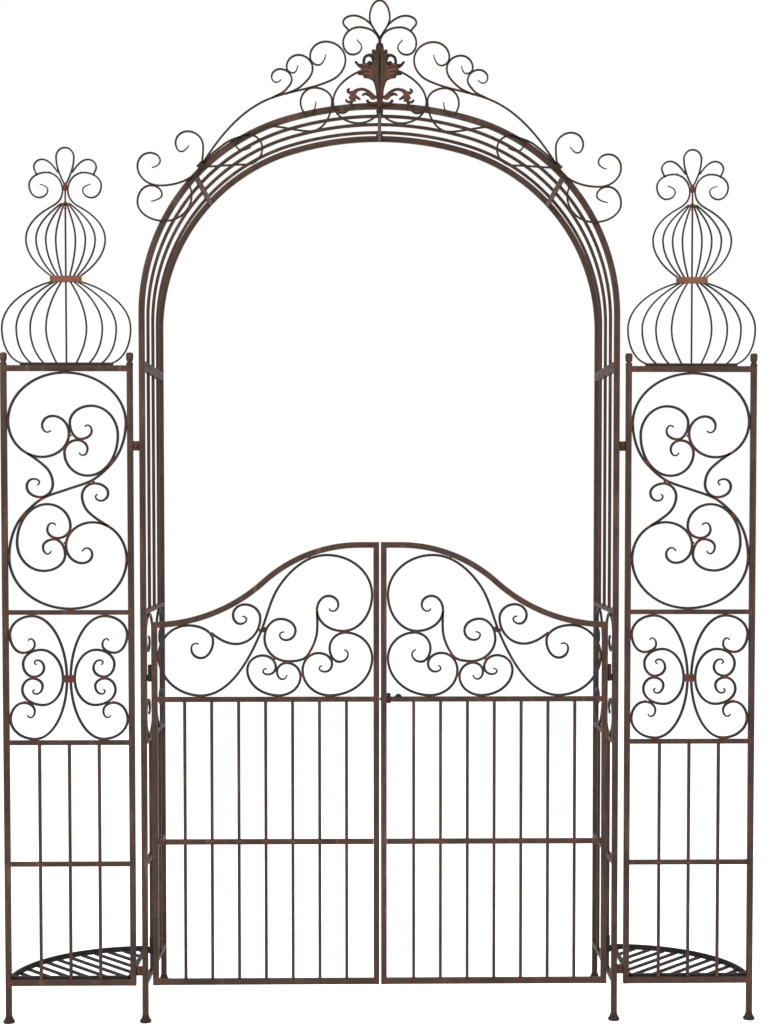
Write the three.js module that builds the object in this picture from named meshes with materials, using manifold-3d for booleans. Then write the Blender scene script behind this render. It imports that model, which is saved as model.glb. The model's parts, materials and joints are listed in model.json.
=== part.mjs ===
// Garden arch with a pair of gate leaves and two trellis side panels, in square tube, bar and bent scrollwork.
// Millimetres. X runs to the right seen from the front, Y to the back and Z up. The origin is on the ground,
// under the middle of the arch.
import * as THREE from "three";
import { mergeVertices } from "three/addons/utils/BufferGeometryUtils.js";
import Module from "manifold-3d";

const wasm = await Module();
wasm.setup();

// Fits
const SEAT = 0.3; // gap between two pieces that touch
const SLIDE = 0.4; // play around a pin or bolt in its hole
const OVERRUN = 2; // how far a cut runs past the face it opens

// Stock
const POST = 15; // square tube of posts, hoops and panel frames
const LEAF_TUBE = 15; // square tube round each gate leaf
const RAIL = 12; // side panel rails and the ladder's crossbars
const LEAF_RAIL = 13; // middle and low rails of a leaf
const BAR = 8; // square bars of grilles, ladders and hoop
const SCROLL = 6.5; // square bar of the scrolls
const CREST_WIRE = 4.8; // square wire of the crest on the hoop
const FINIAL_WIRE = 4.3; // square wire of the bulb finials
const SLAT = 6; // slats of the corner shelves
const TIP_SHARE = 0.5; // width of a scroll's tip, of its bar
const TAPER_LENGTH = 60; // over which a scroll thins to its tip
const CURVE_STEP = 4; // about the most that a facet leaves its curve
const WIDEST_TURN = 0.9; // radians, the most that a curve turns in one facet
const LEAST_TURN = 0.2; // radians, below which a curve counts as straight
const ROUND_SIDES = 8; // facets round pins, barrels, feet and knobs
const BORE_SIDES = 12; // facets round the latch bolt and its bore
const COLLAR_DEPTH_SHARE = 1.3; // depth of a wrapped collar, of its bar

// Arch
const PASSAGE_SPAN = 1228; // centres of the two front posts
const DEPTH_SPAN = 400; // centres of a front and a back post
const SPRING_HEIGHT = 1712; // where the hoop plugs on the posts
const STILT = 130; // straight foot of the hoop
const SHOULDER_RADIUS = 521; // of a half hoop's tight bend, on its centre line
const CROWN_SLOPE = 16.4; // degrees, where the tight bend eases into the flat one over the crown
const SPIGOT = 11; // square plug on a post's top
const SPIGOT_LENGTH = 32;
const HAUNCH_ANGLE = 43; // degrees up the bend where the middle crossbar sits
const HOOP_RODS = 3; // rods between a front and a back tube
const CROWN_BAR = 4.5; // thickness of the flat crossbar at the end of each half hoop
const RAIL_HEIGHTS = { bottom: 105, low: 417, waist: 735, scroll: 1074 };
const TOP_RAIL_HEIGHT = 1704.5; // centre of a side panel's top rail

// Feet
const FOOT_RADIUS = 15;
const FOOT_TOP_RADIUS = 9;
const FOOT_HEIGHT = 18;
const FOOT_RIM = 5; // upright edge at the ground

// Gate
const LEAF_GAP = 4.4; // between the two free stiles
const HINGE_TO_POST = 7.9; // hinge axis to the post's face
const HINGE_TO_STILE = 5; // hinge axis to the stile's face
const LEAF_BOTTOM = 106; // centre of the bottom rail
const LEAF_LOW = 474;
const LEAF_MIDDLE = 847;
const LEAF_SIDE_TOP = 1048.5; // top of the hinge stile
const OGEE_FIRST_RUN = 287; // the hollow part of the top rail
const OGEE_SECOND_RUN = 254; // its crested part
const OGEE_ANGLE = 42; // degrees, its steepest slope
const LEAF_BARS = 7;

// Hinges
const KNUCKLE_RADIUS = 4.6;
const KNUCKLE_HEIGHT = 20;
const BARREL_HEIGHT = 24;
const HINGE_PIN_RADIUS = 2.3;
const LUG_THICKNESS = 6;
const LUG_HEIGHT = 16;
const LUG_START_SHARE = 0.75; // where a barrel's lug starts inside its wall, of the barrel's radius
const HINGE_HEIGHTS = { lower: 200, upper: 914 };

// Latch
const BOLT_RADIUS = 3.5;
const BOLT_LENGTH = 80;
const BOLT_CLEAR = 1; // from the bolt's tip to the other leaf when it is drawn back
const BOLT_TRAVEL = 10;
const BOLT_HOLE_DEPTH = 11.4; // in the other leaf's stile
const TAB_RADIUS = 9.5; // half round thumb tab on the bolt
const TAB_THICKNESS = 3;
const TAB_RISE = 7.5; // above the rail
const TAB_PLACE = 38; // from the free stile's centre
const GUIDE_WIDTH = 10; // strap round the rail beside the stile
const GUIDE_DEPTH = 16;
const GUIDE_RISE = 9; // above the rail
const GUIDE_DROP = 3.5; // below it

// Side panels
const PANEL_GAP = 31.3; // centres of the front post and the panel's inner post
const PANEL_SPAN = 325; // centres of a panel's two posts
const PANEL_BARS = 3;
const KNOB_HEIGHT = 33;
const KNOB_RADIUS = 9.5;
const FINIAL_RISE = 556; // bulb finial above the panel
const FINIAL_HALF_WIDTH = 162.5;
const FINIAL_BAND_WIDTH = 78; // band round a finial's waist
const FINIAL_BAND_HEIGHT = 18;
const FINIAL_NECK_WIDTH = 11; // weld under its loop
const FINIAL_NECK_HEIGHT = 17;
const FINIAL_RING = 14; // ring where its upper wires meet
const FINIAL_BAND_DEPTH = 8; // of the band, neck, ring and base
const FINIAL_BASE_WIDTH = 240; // strip on the top rail that the wires stand on
const FINIAL_BASE_THICKNESS = 7;
const BRACKET_HEIGHT = 25;
const BRACKET_THICKNESS = 4;
const BRACKET_BOLT_RADIUS = 5.5;
const BRACKET_BOLT_LENGTH = 13;
const BRACKET_HEIGHTS = { lower: 135, upper: 1505 };

// Corner shelves
const SHELF_RAIL = 8; // thickness of its rails, seen from above
const SHELF_HEIGHT = 12;
const SHELF_SLATS = 11;
const SLAT_ANGLE = 48; // degrees between the slats and the panel

// Crest
const CREST_HALF_WIDTH = 280;
const CREST_RISE = 262; // above the hoop's tube
const COLLAR_ANGLE = 46; // degrees up the tight bend where the haunch scrolls meet
const HAUNCH_REACH = 165;
const HAUNCH_RISE = 140;
const SPINE_WIDTH = 8; // bar behind the cast leaf
const SPINE_HEIGHT = 194;
const HAUNCH_COLLAR = 16; // collar where the haunch scrolls meet
const BOW_COLLAR_WIDTH = 11; // collar between the bow and the roll beside the cast leaf
const BOW_COLLAR_HEIGHT = 19;
const LEAF_CAST_THICKNESS = 8;
const CROWN_BOLT_RADIUS = 3;
const CROWN_BOLT_HEAD_RADIUS = 5.5;
const CROWN_BOLT_HEAD = 4;

// Places worked out from the sizes above
const HALF_POST = POST / 2;
const POST_X = PASSAGE_SPAN / 2;
const CREST_REACH = HALF_POST + SEAT + CREST_WIRE + SEAT + LEAF_CAST_THICKNESS;
const FRONT_Y = -DEPTH_SPAN / 2 + (CREST_REACH - FOOT_RADIUS) / 2;
const BACK_Y = FRONT_Y + DEPTH_SPAN;
const MIDDLE_Y = (FRONT_Y + BACK_Y) / 2;
const PANEL_INNER_X = POST_X + PANEL_GAP;
const PANEL_OUTER_X = PANEL_INNER_X + PANEL_SPAN;
const PANEL_TOP = TOP_RAIL_HEIGHT + HALF_POST;
const HINGE_X = POST_X - HALF_POST - HINGE_TO_POST;
const LEAF_WIDTH = HINGE_X - HINGE_TO_STILE - LEAF_GAP / 2;
const OGEE_RISE = (OGEE_FIRST_RUN + OGEE_SECOND_RUN) * Math.tan(THREE.MathUtils.degToRad(OGEE_ANGLE) / 2);
const SHOULDER_X = POST_X - SHOULDER_RADIUS; // centre of a half hoop's tight bend
const SHOULDER_Z = SPRING_HEIGHT + STILT;
const EASE = THREE.MathUtils.degToRad(CROWN_SLOPE);
const CROWN_RADIUS = SHOULDER_RADIUS + SHOULDER_X / Math.sin(EASE);
const CROWN_Z = SHOULDER_Z - (CROWN_RADIUS - SHOULDER_RADIUS) * Math.cos(EASE); // centre of the flat bend
const CROWN_HEIGHT = CROWN_Z + CROWN_RADIUS; // centre of the hoop's tube at the crown
const CROWN_TOP = CROWN_HEIGHT + HALF_POST;
const CREST_Y = FRONT_Y - HALF_POST - SEAT - CREST_WIRE / 2;

const LEFT = -1;
const RIGHT = 1;
const SIDES = { left: LEFT, right: RIGHT };
const QUARTER = Math.PI / 2;

// Finishes
const FINISHES = {
  tube: { color: 0x6b5142, roughness: 0.62, metalness: 0.55 },
  scroll: { color: 0x3e3a38, roughness: 0.58, metalness: 0.6 },
  collar: { color: 0x8a5336, roughness: 0.7, metalness: 0.4 },
  hinge: { color: 0x3a2c26, roughness: 0.6, metalness: 0.6 },
  cast: { color: 0x6f4a3a, roughness: 0.7, metalness: 0.45 },
  foot: { color: 0x573d31, roughness: 0.65, metalness: 0.5 },
};

const arch = new THREE.Group();

// Adds one named piece to a group and gives its mesh back.
function addPiece(group, name, geometry, finish) {
  const mesh = new THREE.Mesh(geometry, new THREE.MeshStandardMaterial(FINISHES[finish]));
  mesh.name = name;
  group.add(mesh);
  return mesh;
}

// Solids for joining and cutting
function toSolid(geometry) {
  const bare = geometry.clone();
  bare.deleteAttribute("normal");
  bare.deleteAttribute("uv");
  const merged = mergeVertices(bare);
  const vertProperties = Float32Array.from(merged.attributes.position.array);
  const triVerts = Uint32Array.from(merged.index.array);
  return new wasm.Manifold(new wasm.Mesh({ numProp: 3, vertProperties, triVerts }));
}

function toGeometry(solid) {
  const mesh = solid.getMesh();
  const geometry = new THREE.BufferGeometry();
  geometry.setAttribute("position", new THREE.BufferAttribute(mesh.vertProperties, 3));
  geometry.setIndex(new THREE.BufferAttribute(mesh.triVerts, 1));
  geometry.computeVertexNormals();
  return geometry;
}

function join(geometries) {
  return toGeometry(geometries.map(toSolid).reduce((whole, next) => whole.add(next)));
}

function cut(geometry, tools) {
  return toGeometry(tools.map(toSolid).reduce((whole, tool) => whole.subtract(tool), toSolid(geometry)));
}

// Box between two corners
function block(low, high) {
  const size = high.map((value, axis) => value - low[axis]);
  const geometry = new THREE.BoxGeometry(size[0], size[1], size[2]);
  const middle = high.map((value, axis) => (value + low[axis]) / 2);
  return geometry.translate(middle[0], middle[1], middle[2]);
}

// Box on a flat drawing: its middle, its width and height there, and its depth through the drawing
function pad(middle, width, height, depth) {
  return new THREE.BoxGeometry(width, depth, height).translate(middle.x, 0, middle.y);
}

// A flat drawing that shares across and up are placed on. Mirror draws it the other way round.
function drawing(startX, width, startZ, height, mirror = 1) {
  return {
    mirror,
    point: (across, up) => new THREE.Vector2(startX + mirror * across * width, startZ + up * height),
  };
}

function headingVector(degrees, mirror) {
  const angle = THREE.MathUtils.degToRad(degrees);
  return new THREE.Vector2(mirror * Math.cos(angle), Math.sin(angle));
}

// Facets that a bend of this radius needs for each radian
function facetsPerRadian(radius) {
  return 1 / (2 * Math.acos(1 - Math.min(CURVE_STEP / radius, 1)));
}

// Curve through keys of [share across, share up, heading in degrees]: a quarter ellipse between two keys whose
// headings stand square, and a matching easy bend between any others
function keyCurve(keys, sheet) {
  const samples = [];
  for (let index = 1; index < keys.length; index += 1) {
    const [from, to] = [keys[index - 1], keys[index]];
    const start = sheet.point(from[0], from[1]);
    const end = sheet.point(to[0], to[1]);
    const startWay = headingVector(from[2], sheet.mirror);
    const endWay = headingVector(to[2], sheet.mirror);
    const chord = end.clone().sub(start);
    const turn = Math.acos(THREE.MathUtils.clamp(startWay.dot(endWay), -1, 1));
    const bend = Math.max(turn, LEAST_TURN) / 4;
    const ease = (4 / 3) * Math.tan(bend) / Math.sin(4 * bend);
    const startPull = startWay.clone().multiplyScalar(Math.abs(chord.dot(startWay)) * ease);
    const endPull = endWay.clone().multiplyScalar(Math.abs(chord.dot(endWay)) * ease);
    const pulls = [start.clone().add(startPull), end.clone().sub(endPull)];
    const curve = new THREE.CubicBezierCurve(start, ...pulls, end);
    const radius = chord.length() / (2 * Math.sin(Math.max(turn, LEAST_TURN) / 2));
    const steps = Math.max(1, Math.ceil(turn / WIDEST_TURN), Math.round(turn * facetsPerRadian(radius)));
    for (let step = index === 1 ? 0 : 1; step <= steps; step += 1) {
      const tangent = curve.getTangent(step / steps);
      samples.push({ point: curve.getPoint(step / steps), normal: new THREE.Vector2(-tangent.y, tangent.x) });
    }
  }
  return samples;
}

// Square bar bent flat along samples of a curve, thinned towards each end that is a tip
function bentBar(samples, width, depth, tips = [false, false]) {
  const lengths = [0];
  for (let index = 1; index < samples.length; index += 1) {
    lengths.push(lengths[index - 1] + samples[index].point.distanceTo(samples[index - 1].point));
  }
  const total = lengths[lengths.length - 1];
  const halfWidth = (index) => {
    const fromTip = Math.min(
      tips[0] ? lengths[index] : TAPER_LENGTH,
      tips[1] ? total - lengths[index] : TAPER_LENGTH,
      TAPER_LENGTH,
    );
    return (width / 2) * (TIP_SHARE + (1 - TIP_SHARE) * (fromTip / TAPER_LENGTH));
  };
  const edge = (sign) => samples.map(({ point, normal }, index) => (
    point.clone().addScaledVector(normal, sign * halfWidth(index))
  ));
  const outline = new THREE.Shape([...edge(1), ...edge(-1).reverse()]);
  const geometry = new THREE.ExtrudeGeometry(outline, { depth, bevelEnabled: false });
  return geometry.rotateX(QUARTER).translate(0, depth / 2, 0);
}

function scroll(keys, sheet, width, tips) {
  return bentBar(keyCurve(keys, sheet), width, width, tips);
}

// Cylinder along Z from one height to another
function upright(radius, low, high) {
  return new THREE.CylinderGeometry(radius, radius, high - low, ROUND_SIDES).rotateX(QUARTER)
    .translate(0, 0, (low + high) / 2);
}

// Feet
function footGeometry() {
  const neck = (FOOT_RADIUS + FOOT_TOP_RADIUS) / 2;
  const profile = [
    [0, 0], [FOOT_RADIUS, 0], [FOOT_RADIUS, FOOT_RIM], [neck, (FOOT_RIM + FOOT_HEIGHT) / 2],
    [FOOT_TOP_RADIUS, FOOT_HEIGHT], [0, FOOT_HEIGHT],
  ].map(([radius, height]) => new THREE.Vector2(radius, height));
  return new THREE.LatheGeometry(profile, ROUND_SIDES).rotateX(QUARTER);
}

function addFoot(name, x, y) {
  addPiece(arch, name, footGeometry(), "foot").position.set(x, y, 0);
}

// Posts of the arch, each with a plug that the hoop sits over
function postGeometry() {
  const shaft = block([-HALF_POST, -HALF_POST, FOOT_HEIGHT + SEAT], [HALF_POST, HALF_POST, SPRING_HEIGHT]);
  const plugTop = SPRING_HEIGHT + SPIGOT_LENGTH;
  const plug = block([-SPIGOT / 2, -SPIGOT / 2, SPRING_HEIGHT - OVERRUN], [SPIGOT / 2, SPIGOT / 2, plugTop]);
  return join([shaft, plug]);
}

// Place on a half hoop, inset from its centre line, at an angle up from level about the bend that holds it
function hoopPoint(side, inset, angle) {
  const onCrown = angle > QUARTER - EASE;
  const radius = (onCrown ? CROWN_RADIUS : SHOULDER_RADIUS) - inset;
  const middle = onCrown ? new THREE.Vector2(0, CROWN_Z) : new THREE.Vector2(side * SHOULDER_X, SHOULDER_Z);
  const out = new THREE.Vector2(side * Math.cos(angle), Math.sin(angle));
  return { point: out.clone().multiplyScalar(radius).add(middle), normal: out };
}

// Centre line of a half hoop, moved inwards by inset: a straight foot, a tight bend and a flat one to the crown
function hoopLine(side, inset, start, end) {
  const foot = {
    point: new THREE.Vector2(side * (POST_X - inset), start),
    normal: new THREE.Vector2(side, 0),
  };
  const tightSteps = Math.ceil((QUARTER - EASE) * facetsPerRadian(SHOULDER_RADIUS));
  const flatSteps = Math.ceil(EASE * facetsPerRadian(CROWN_RADIUS));
  const last = QUARTER - end / CROWN_RADIUS;
  const angles = [];
  for (let step = 0; step <= tightSteps; step += 1) {
    angles.push(((QUARTER - EASE) * step) / tightSteps);
  }
  for (let step = 1; step <= flatSteps; step += 1) {
    angles.push(QUARTER - EASE + ((last - QUARTER + EASE) * step) / flatSteps);
  }
  return [foot, ...angles.map((angle) => hoopPoint(side, inset, angle))];
}

function hoopTubeGeometry(side) {
  const start = SPRING_HEIGHT + SEAT;
  const tube = bentBar(hoopLine(side, 0, start, SEAT / 2), POST, POST);
  const half = SPIGOT / 2 + SEAT;
  const x = side * POST_X;
  const socketTop = SPRING_HEIGHT + SPIGOT_LENGTH + SEAT;
  const socket = block([x - half, -half, start - OVERRUN], [x + half, half, socketTop]);
  return cut(tube, [socket]);
}

// Places of the rods between a front and a back tube
function rodPlaces() {
  return Array.from({ length: HOOP_RODS }, (_, index) => (
    FRONT_Y + (DEPTH_SPAN * (index + 1)) / (HOOP_RODS + 1)
  ));
}

// Crossbar from the front tubes to the back ones, its middle drawn on the front view
function crossbar(middle, width, height, angle = 0) {
  const reach = DEPTH_SPAN - POST - 2 * SEAT;
  return new THREE.BoxGeometry(width, reach, height).rotateY(-angle).translate(middle.x, MIDDLE_Y, middle.y);
}

function hoopLatticeGeometry(side) {
  const inset = (POST - BAR) / 2;
  const start = SPRING_HEIGHT + SEAT;
  const rods = rodPlaces().map((y) => (
    bentBar(hoopLine(side, inset, start, SEAT / 2), BAR, BAR).translate(0, y, 0)
  ));
  const barInset = (POST - RAIL) / 2;
  const foot = crossbar(new THREE.Vector2(side * (POST_X - barInset), start + RAIL / 2), RAIL, RAIL);
  const haunch = THREE.MathUtils.degToRad(HAUNCH_ANGLE);
  const middle = crossbar(hoopPoint(side, barInset, haunch).point, RAIL, RAIL, side * haunch);
  const crownPlace = new THREE.Vector2(side * (CROWN_BAR / 2 + SEAT / 2), CROWN_HEIGHT - barInset);
  const crown = crossbar(crownPlace, CROWN_BAR, RAIL);
  const bore = CROWN_BOLT_RADIUS + SLIDE;
  const holes = crownBoltPlaces().map((y) => (
    new THREE.CylinderGeometry(bore, bore, 2 * (CROWN_BAR + OVERRUN), ROUND_SIDES)
      .rotateZ(QUARTER).translate(0, y, crownPlace.y)
  ));
  return cut(join([...rods, foot, middle, crown]), holes);
}

// Bolts that hold the two flat crossbars at the crown together
function crownBoltPlaces() {
  const rods = rodPlaces();
  return [(FRONT_Y + rods[0]) / 2, (BACK_Y + rods[HOOP_RODS - 1]) / 2];
}

function crownBoltGeometry() {
  const reach = CROWN_BAR + SEAT / 2 + SEAT;
  const end = reach + CROWN_BOLT_HEAD;
  const profile = [
    [0, -end], [CROWN_BOLT_HEAD_RADIUS, -end], [CROWN_BOLT_HEAD_RADIUS, -reach], [CROWN_BOLT_RADIUS, -reach],
    [CROWN_BOLT_RADIUS, reach], [CROWN_BOLT_HEAD_RADIUS, reach], [CROWN_BOLT_HEAD_RADIUS, end], [0, end],
  ].map(([radius, along]) => new THREE.Vector2(radius, along));
  return new THREE.LatheGeometry(profile, 6).rotateZ(QUARTER);
}

// Ladder between a front and a back post: crossbars, and rods in all bays but the one with the scrolls
function ladderGeometry(side) {
  const face = POST_X - HALF_POST;
  const barX = side * (face + RAIL / 2);
  const rodX = side * (face + BAR / 2);
  const top = SPRING_HEIGHT - RAIL / 2;
  const heights = [...Object.values(RAIL_HEIGHTS), top];
  const bars = heights.map((height) => crossbar(new THREE.Vector2(barX, height), RAIL, RAIL));
  const bays = [[RAIL_HEIGHTS.bottom, RAIL_HEIGHTS.waist], [RAIL_HEIGHTS.scroll, top]];
  const rods = bays.flatMap(([low, high]) => rodPlaces().map((y) => (
    block([rodX - BAR / 2, y - BAR / 2, low], [rodX + BAR / 2, y + BAR / 2, high])
  )));
  const stiles = [FRONT_Y + HALF_POST + SEAT, BACK_Y - HALF_POST - SEAT - BAR].map((y) => (
    block([rodX - BAR / 2, y, RAIL_HEIGHTS.waist], [rodX + BAR / 2, y + BAR, RAIL_HEIGHTS.scroll])
  ));
  return join([...bars, ...rods, ...stiles]);
}

// Gate leaves, drawn with the hinge axis at zero and the free stile along the drawing
const STILE_START = HINGE_TO_STILE;
const STILE_END = STILE_START + LEAF_WIDTH;

// Top edge of a leaf, as samples of its centre line: a hollow bend, a crested bend and a level end
function topRailLine(mirror, drop) {
  const angle = THREE.MathUtils.degToRad(OGEE_ANGLE);
  const samples = [];
  const addSample = (x, z, slope) => samples.push({
    point: new THREE.Vector2(mirror * x, z),
    normal: new THREE.Vector2(-mirror * Math.sin(slope), Math.cos(slope)),
  });
  const firstRadius = OGEE_FIRST_RUN / Math.sin(angle);
  const secondRadius = OGEE_SECOND_RUN / Math.sin(angle);
  const crest = STILE_START + OGEE_FIRST_RUN + OGEE_SECOND_RUN;
  const top = LEAF_SIDE_TOP + OGEE_RISE;
  const steps = Math.ceil(angle * facetsPerRadian(firstRadius));
  addSample(STILE_START, LEAF_SIDE_TOP - drop, 0);
  for (let step = 1; step < steps; step += 1) {
    const slope = (angle * step) / steps;
    const radius = firstRadius + drop;
    const rise = firstRadius - radius * Math.cos(slope);
    addSample(STILE_START + radius * Math.sin(slope), LEAF_SIDE_TOP + rise, slope);
  }
  for (let step = 0; step <= steps; step += 1) {
    const slope = angle * (1 - step / steps);
    const radius = secondRadius - drop;
    addSample(crest - radius * Math.sin(slope), top - secondRadius + radius * Math.cos(slope), slope);
  }
  addSample(STILE_END, top - drop, 0);
  return samples;
}

const LEAF_TOP = LEAF_SIDE_TOP + OGEE_RISE;

function leafFrameGeometry(mirror) {
  const half = LEAF_TUBE / 2;
  const halfRail = LEAF_RAIL / 2;
  const across = (from, to, low, high, depth) => block(
    [Math.min(mirror * from, mirror * to), -depth / 2, low],
    [Math.max(mirror * from, mirror * to), depth / 2, high],
  );
  const bottom = LEAF_BOTTOM - half;
  const parts = [
    across(STILE_START, STILE_START + LEAF_TUBE, bottom, LEAF_SIDE_TOP - half, LEAF_TUBE),
    across(STILE_END - LEAF_TUBE, STILE_END, bottom, LEAF_TOP - half, LEAF_TUBE),
    across(STILE_START + half, STILE_END - half, bottom, bottom + LEAF_TUBE, LEAF_TUBE),
    across(STILE_START + half, STILE_END - half, LEAF_MIDDLE - halfRail, LEAF_MIDDLE + halfRail, LEAF_RAIL),
    bentBar(topRailLine(mirror, half), LEAF_TUBE, LEAF_TUBE),
  ];
  return cut(join(parts), latchCuts(mirror));
}

// The bolt runs inside the middle rail of the right leaf, with a slot over it for the tab. The left leaf has
// a hole for its tip.
function latchCuts(mirror) {
  const radius = BOLT_RADIUS + SLIDE;
  const along = (from, to) => (
    new THREE.CylinderGeometry(radius, radius, to - from, BORE_SIDES).rotateZ(QUARTER)
      .translate(mirror * (from + to) / 2, 0, LEAF_MIDDLE)
  );
  if (mirror === RIGHT) {
    return [along(STILE_END - BOLT_HOLE_DEPTH, STILE_END + OVERRUN)];
  }
  const back = boltTip() - BOLT_LENGTH - SLIDE;
  const slotMiddle = tabPlace() + BOLT_TRAVEL / 2;
  const slot = new THREE.BoxGeometry(
    2 * (TAB_RADIUS + SLIDE) + BOLT_TRAVEL, TAB_THICKNESS + 2 * SLIDE, LEAF_RAIL,
  ).translate(mirror * slotMiddle, 0, LEAF_MIDDLE + LEAF_RAIL / 2);
  return [along(back, STILE_END + OVERRUN), slot];
}

function boltTip() {
  return STILE_END + LEAF_GAP - BOLT_CLEAR;
}

function tabPlace() {
  return STILE_END - LEAF_TUBE / 2 - TAB_PLACE;
}

function latchBoltGeometry(mirror) {
  const rod = new THREE.CylinderGeometry(BOLT_RADIUS, BOLT_RADIUS, BOLT_LENGTH, BORE_SIDES).rotateZ(QUARTER)
    .translate(mirror * (boltTip() - BOLT_LENGTH / 2), 0, LEAF_MIDDLE);
  const stem = LEAF_RAIL / 2 + TAB_RISE - TAB_RADIUS;
  const tab = new THREE.Shape();
  tab.moveTo(TAB_RADIUS, 0);
  tab.lineTo(TAB_RADIUS, stem);
  tab.absarc(0, stem, TAB_RADIUS, 0, Math.PI, false);
  tab.lineTo(-TAB_RADIUS, 0);
  const options = { depth: TAB_THICKNESS, bevelEnabled: false, curveSegments: ROUND_SIDES };
  const plate = new THREE.ExtrudeGeometry(tab, options)
    .rotateX(QUARTER).translate(mirror * tabPlace(), TAB_THICKNESS / 2, LEAF_MIDDLE);
  return join([rod, plate]);
}

function latchGuideGeometry(mirror) {
  const near = STILE_END - LEAF_TUBE - SEAT;
  const ends = [mirror * near, mirror * (near - GUIDE_WIDTH)].sort((a, b) => a - b);
  const half = LEAF_RAIL / 2;
  const strap = block(
    [ends[0], -GUIDE_DEPTH / 2, LEAF_MIDDLE - half - GUIDE_DROP],
    [ends[1], GUIDE_DEPTH / 2, LEAF_MIDDLE + half + GUIDE_RISE],
  );
  const hole = block(
    [ends[0] - OVERRUN, -half - SEAT, LEAF_MIDDLE - half - SEAT],
    [ends[1] + OVERRUN, half + SEAT, LEAF_MIDDLE + half + SEAT],
  );
  return cut(strap, [hole]);
}

function leafBarsGeometry(mirror) {
  const first = STILE_START + LEAF_TUBE;
  const last = STILE_END - LEAF_TUBE;
  const low = LEAF_BOTTOM + LEAF_TUBE / 2 + SEAT;
  const high = LEAF_MIDDLE - LEAF_RAIL / 2 - SEAT;
  const bars = Array.from({ length: LEAF_BARS }, (_, index) => {
    const x = mirror * (first + ((last - first) * (index + 1)) / (LEAF_BARS + 1));
    return block([x - BAR / 2, -BAR / 2, low], [x + BAR / 2, BAR / 2, high]);
  });
  const ends = [mirror * (first + SEAT), mirror * (last - SEAT)].sort((a, b) => a - b);
  const half = LEAF_RAIL / 2;
  const rail = block([ends[0], -half, LEAF_LOW - half], [ends[1], half, LEAF_LOW + half]);
  return join([...bars, rail]);
}

// Scrolls of a gate leaf, as shares from the hinge stile to the free stile and from the middle rail to the top
const GATE_SCROLL_SHARES = {
  great: [
    [0.188, 0.35, 130], [0.153, 0.32, 270], [0.197, 0.257, 0], [0.255, 0.375, 90], [0.14, 0.48, 180],
    [0, 0.27, 270], [0.198, 0, 0], [0.481, 0.444, 68], [0.565, 0.747, 56], [0.789, 0.96, 0], [1, 0.69, 270],
    [0.864, 0.441, 180], [0.742, 0.584, 90], [0.796, 0.681, 0], [0.842, 0.621, 270], [0.815, 0.577, 180],
    [0.8, 0.596, 90],
  ],
  branch: [
    [0.246, 0.43, -40], [0.362, 0.353, 0], [0.476, 0.53, 90], [0.404, 0.623, 180], [0.349, 0.55, 270],
    [0.383, 0.49, 0], [0.412, 0.524, 90], [0.392, 0.543, 170],
  ],
  heart: [
    [0.742, 0.573, -88], [0.743, 0.454, -93], [0.697, 0.275, -125], [0.607, 0.234, 180], [0.496, 0.39, 90],
    [0.571, 0.524, 0], [0.641, 0.444, 270], [0.596, 0.379, 180], [0.568, 0.415, 90],
  ],
  lowNear: [
    [0.49, 0.187, -80], [0.512, 0.144, 0], [0.548, 0.195, 90], [0.487, 0.274, 180], [0.415, 0.174, 270],
    [0.562, 0, 0], [0.664, 0.13, 90], [0.6, 0.223, 180], [0.554, 0.163, 270], [0.579, 0.111, 0],
    [0.6, 0.141, 90],
  ],
  lowFar: [
    [0.753, 0.2, -80], [0.779, 0.162, 0], [0.812, 0.216, 90], [0.749, 0.29, 180], [0.674, 0.173, 270],
    [0.801, 0, 0], [1, 0.255, 90], [0.876, 0.43, 180], [0.801, 0.324, 270], [0.846, 0.23, 0],
    [0.887, 0.281, 90], [0.868, 0.313, 170],
  ],
};
// Wrapped collars and welds: shares across and up, then width and height as multiples of the bar
const GATE_COLLAR_SHARES = [[0.487, 0.447, 3.1, 3.2], [0.669, 0.135, 1.7, 2.7]];
const GATE_WELD_SHARES = [
  [0.426, 0.232, 1.5, 1.5], [0.603, 0.229, 1.4, 1.4], [0.701, 0.272, 1.5, 1.5], [0.541, 0.25, 1.6, 1.5],
  [0.87, 0.436, 1.5, 1.5], [0.246, 0.425, 1.4, 1.4],
];

function leafScrollGeometry(mirror) {
  const inset = SCROLL / 2 + SEAT;
  const start = STILE_START + LEAF_TUBE + inset;
  const end = STILE_END - LEAF_TUBE - inset;
  const low = LEAF_MIDDLE + LEAF_RAIL / 2 + inset;
  const high = LEAF_TOP - LEAF_TUBE - inset;
  const sheet = drawing(mirror * start, end - start, low, high - low, mirror);
  const curls = Object.entries(GATE_SCROLL_SHARES).map(([name, keys]) => (
    scroll(keys, sheet, SCROLL, [!["branch", "heart"].includes(name), true])
  ));
  const collars = welds(GATE_COLLAR_SHARES, sheet, SCROLL, COLLAR_DEPTH_SHARE * SCROLL);
  return join([...curls, ...collars, ...welds(GATE_WELD_SHARES, sheet, SCROLL)]);
}

function welds(shares, sheet, width, depth = width) {
  return shares.map(([across, up, wide, high]) => (
    pad(sheet.point(across, up), wide * width, high * width, depth)
  ));
}

// Hinges: a knuckle with a pin on the post, and a barrel on the leaf that drops over the pin
function hingePinGeometry(mirror) {
  const knuckle = upright(KNUCKLE_RADIUS, -KNUCKLE_HEIGHT, 0);
  const pin = upright(HINGE_PIN_RADIUS, -OVERRUN, BARREL_HEIGHT);
  const edges = [0, -mirror * (HINGE_TO_POST - SEAT)].sort((a, b) => a - b);
  const low = -(KNUCKLE_HEIGHT + LUG_HEIGHT) / 2;
  const lug = block([edges[0], -LUG_THICKNESS / 2, low], [edges[1], LUG_THICKNESS / 2, low + LUG_HEIGHT]);
  return join([knuckle, pin, lug]);
}

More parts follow.
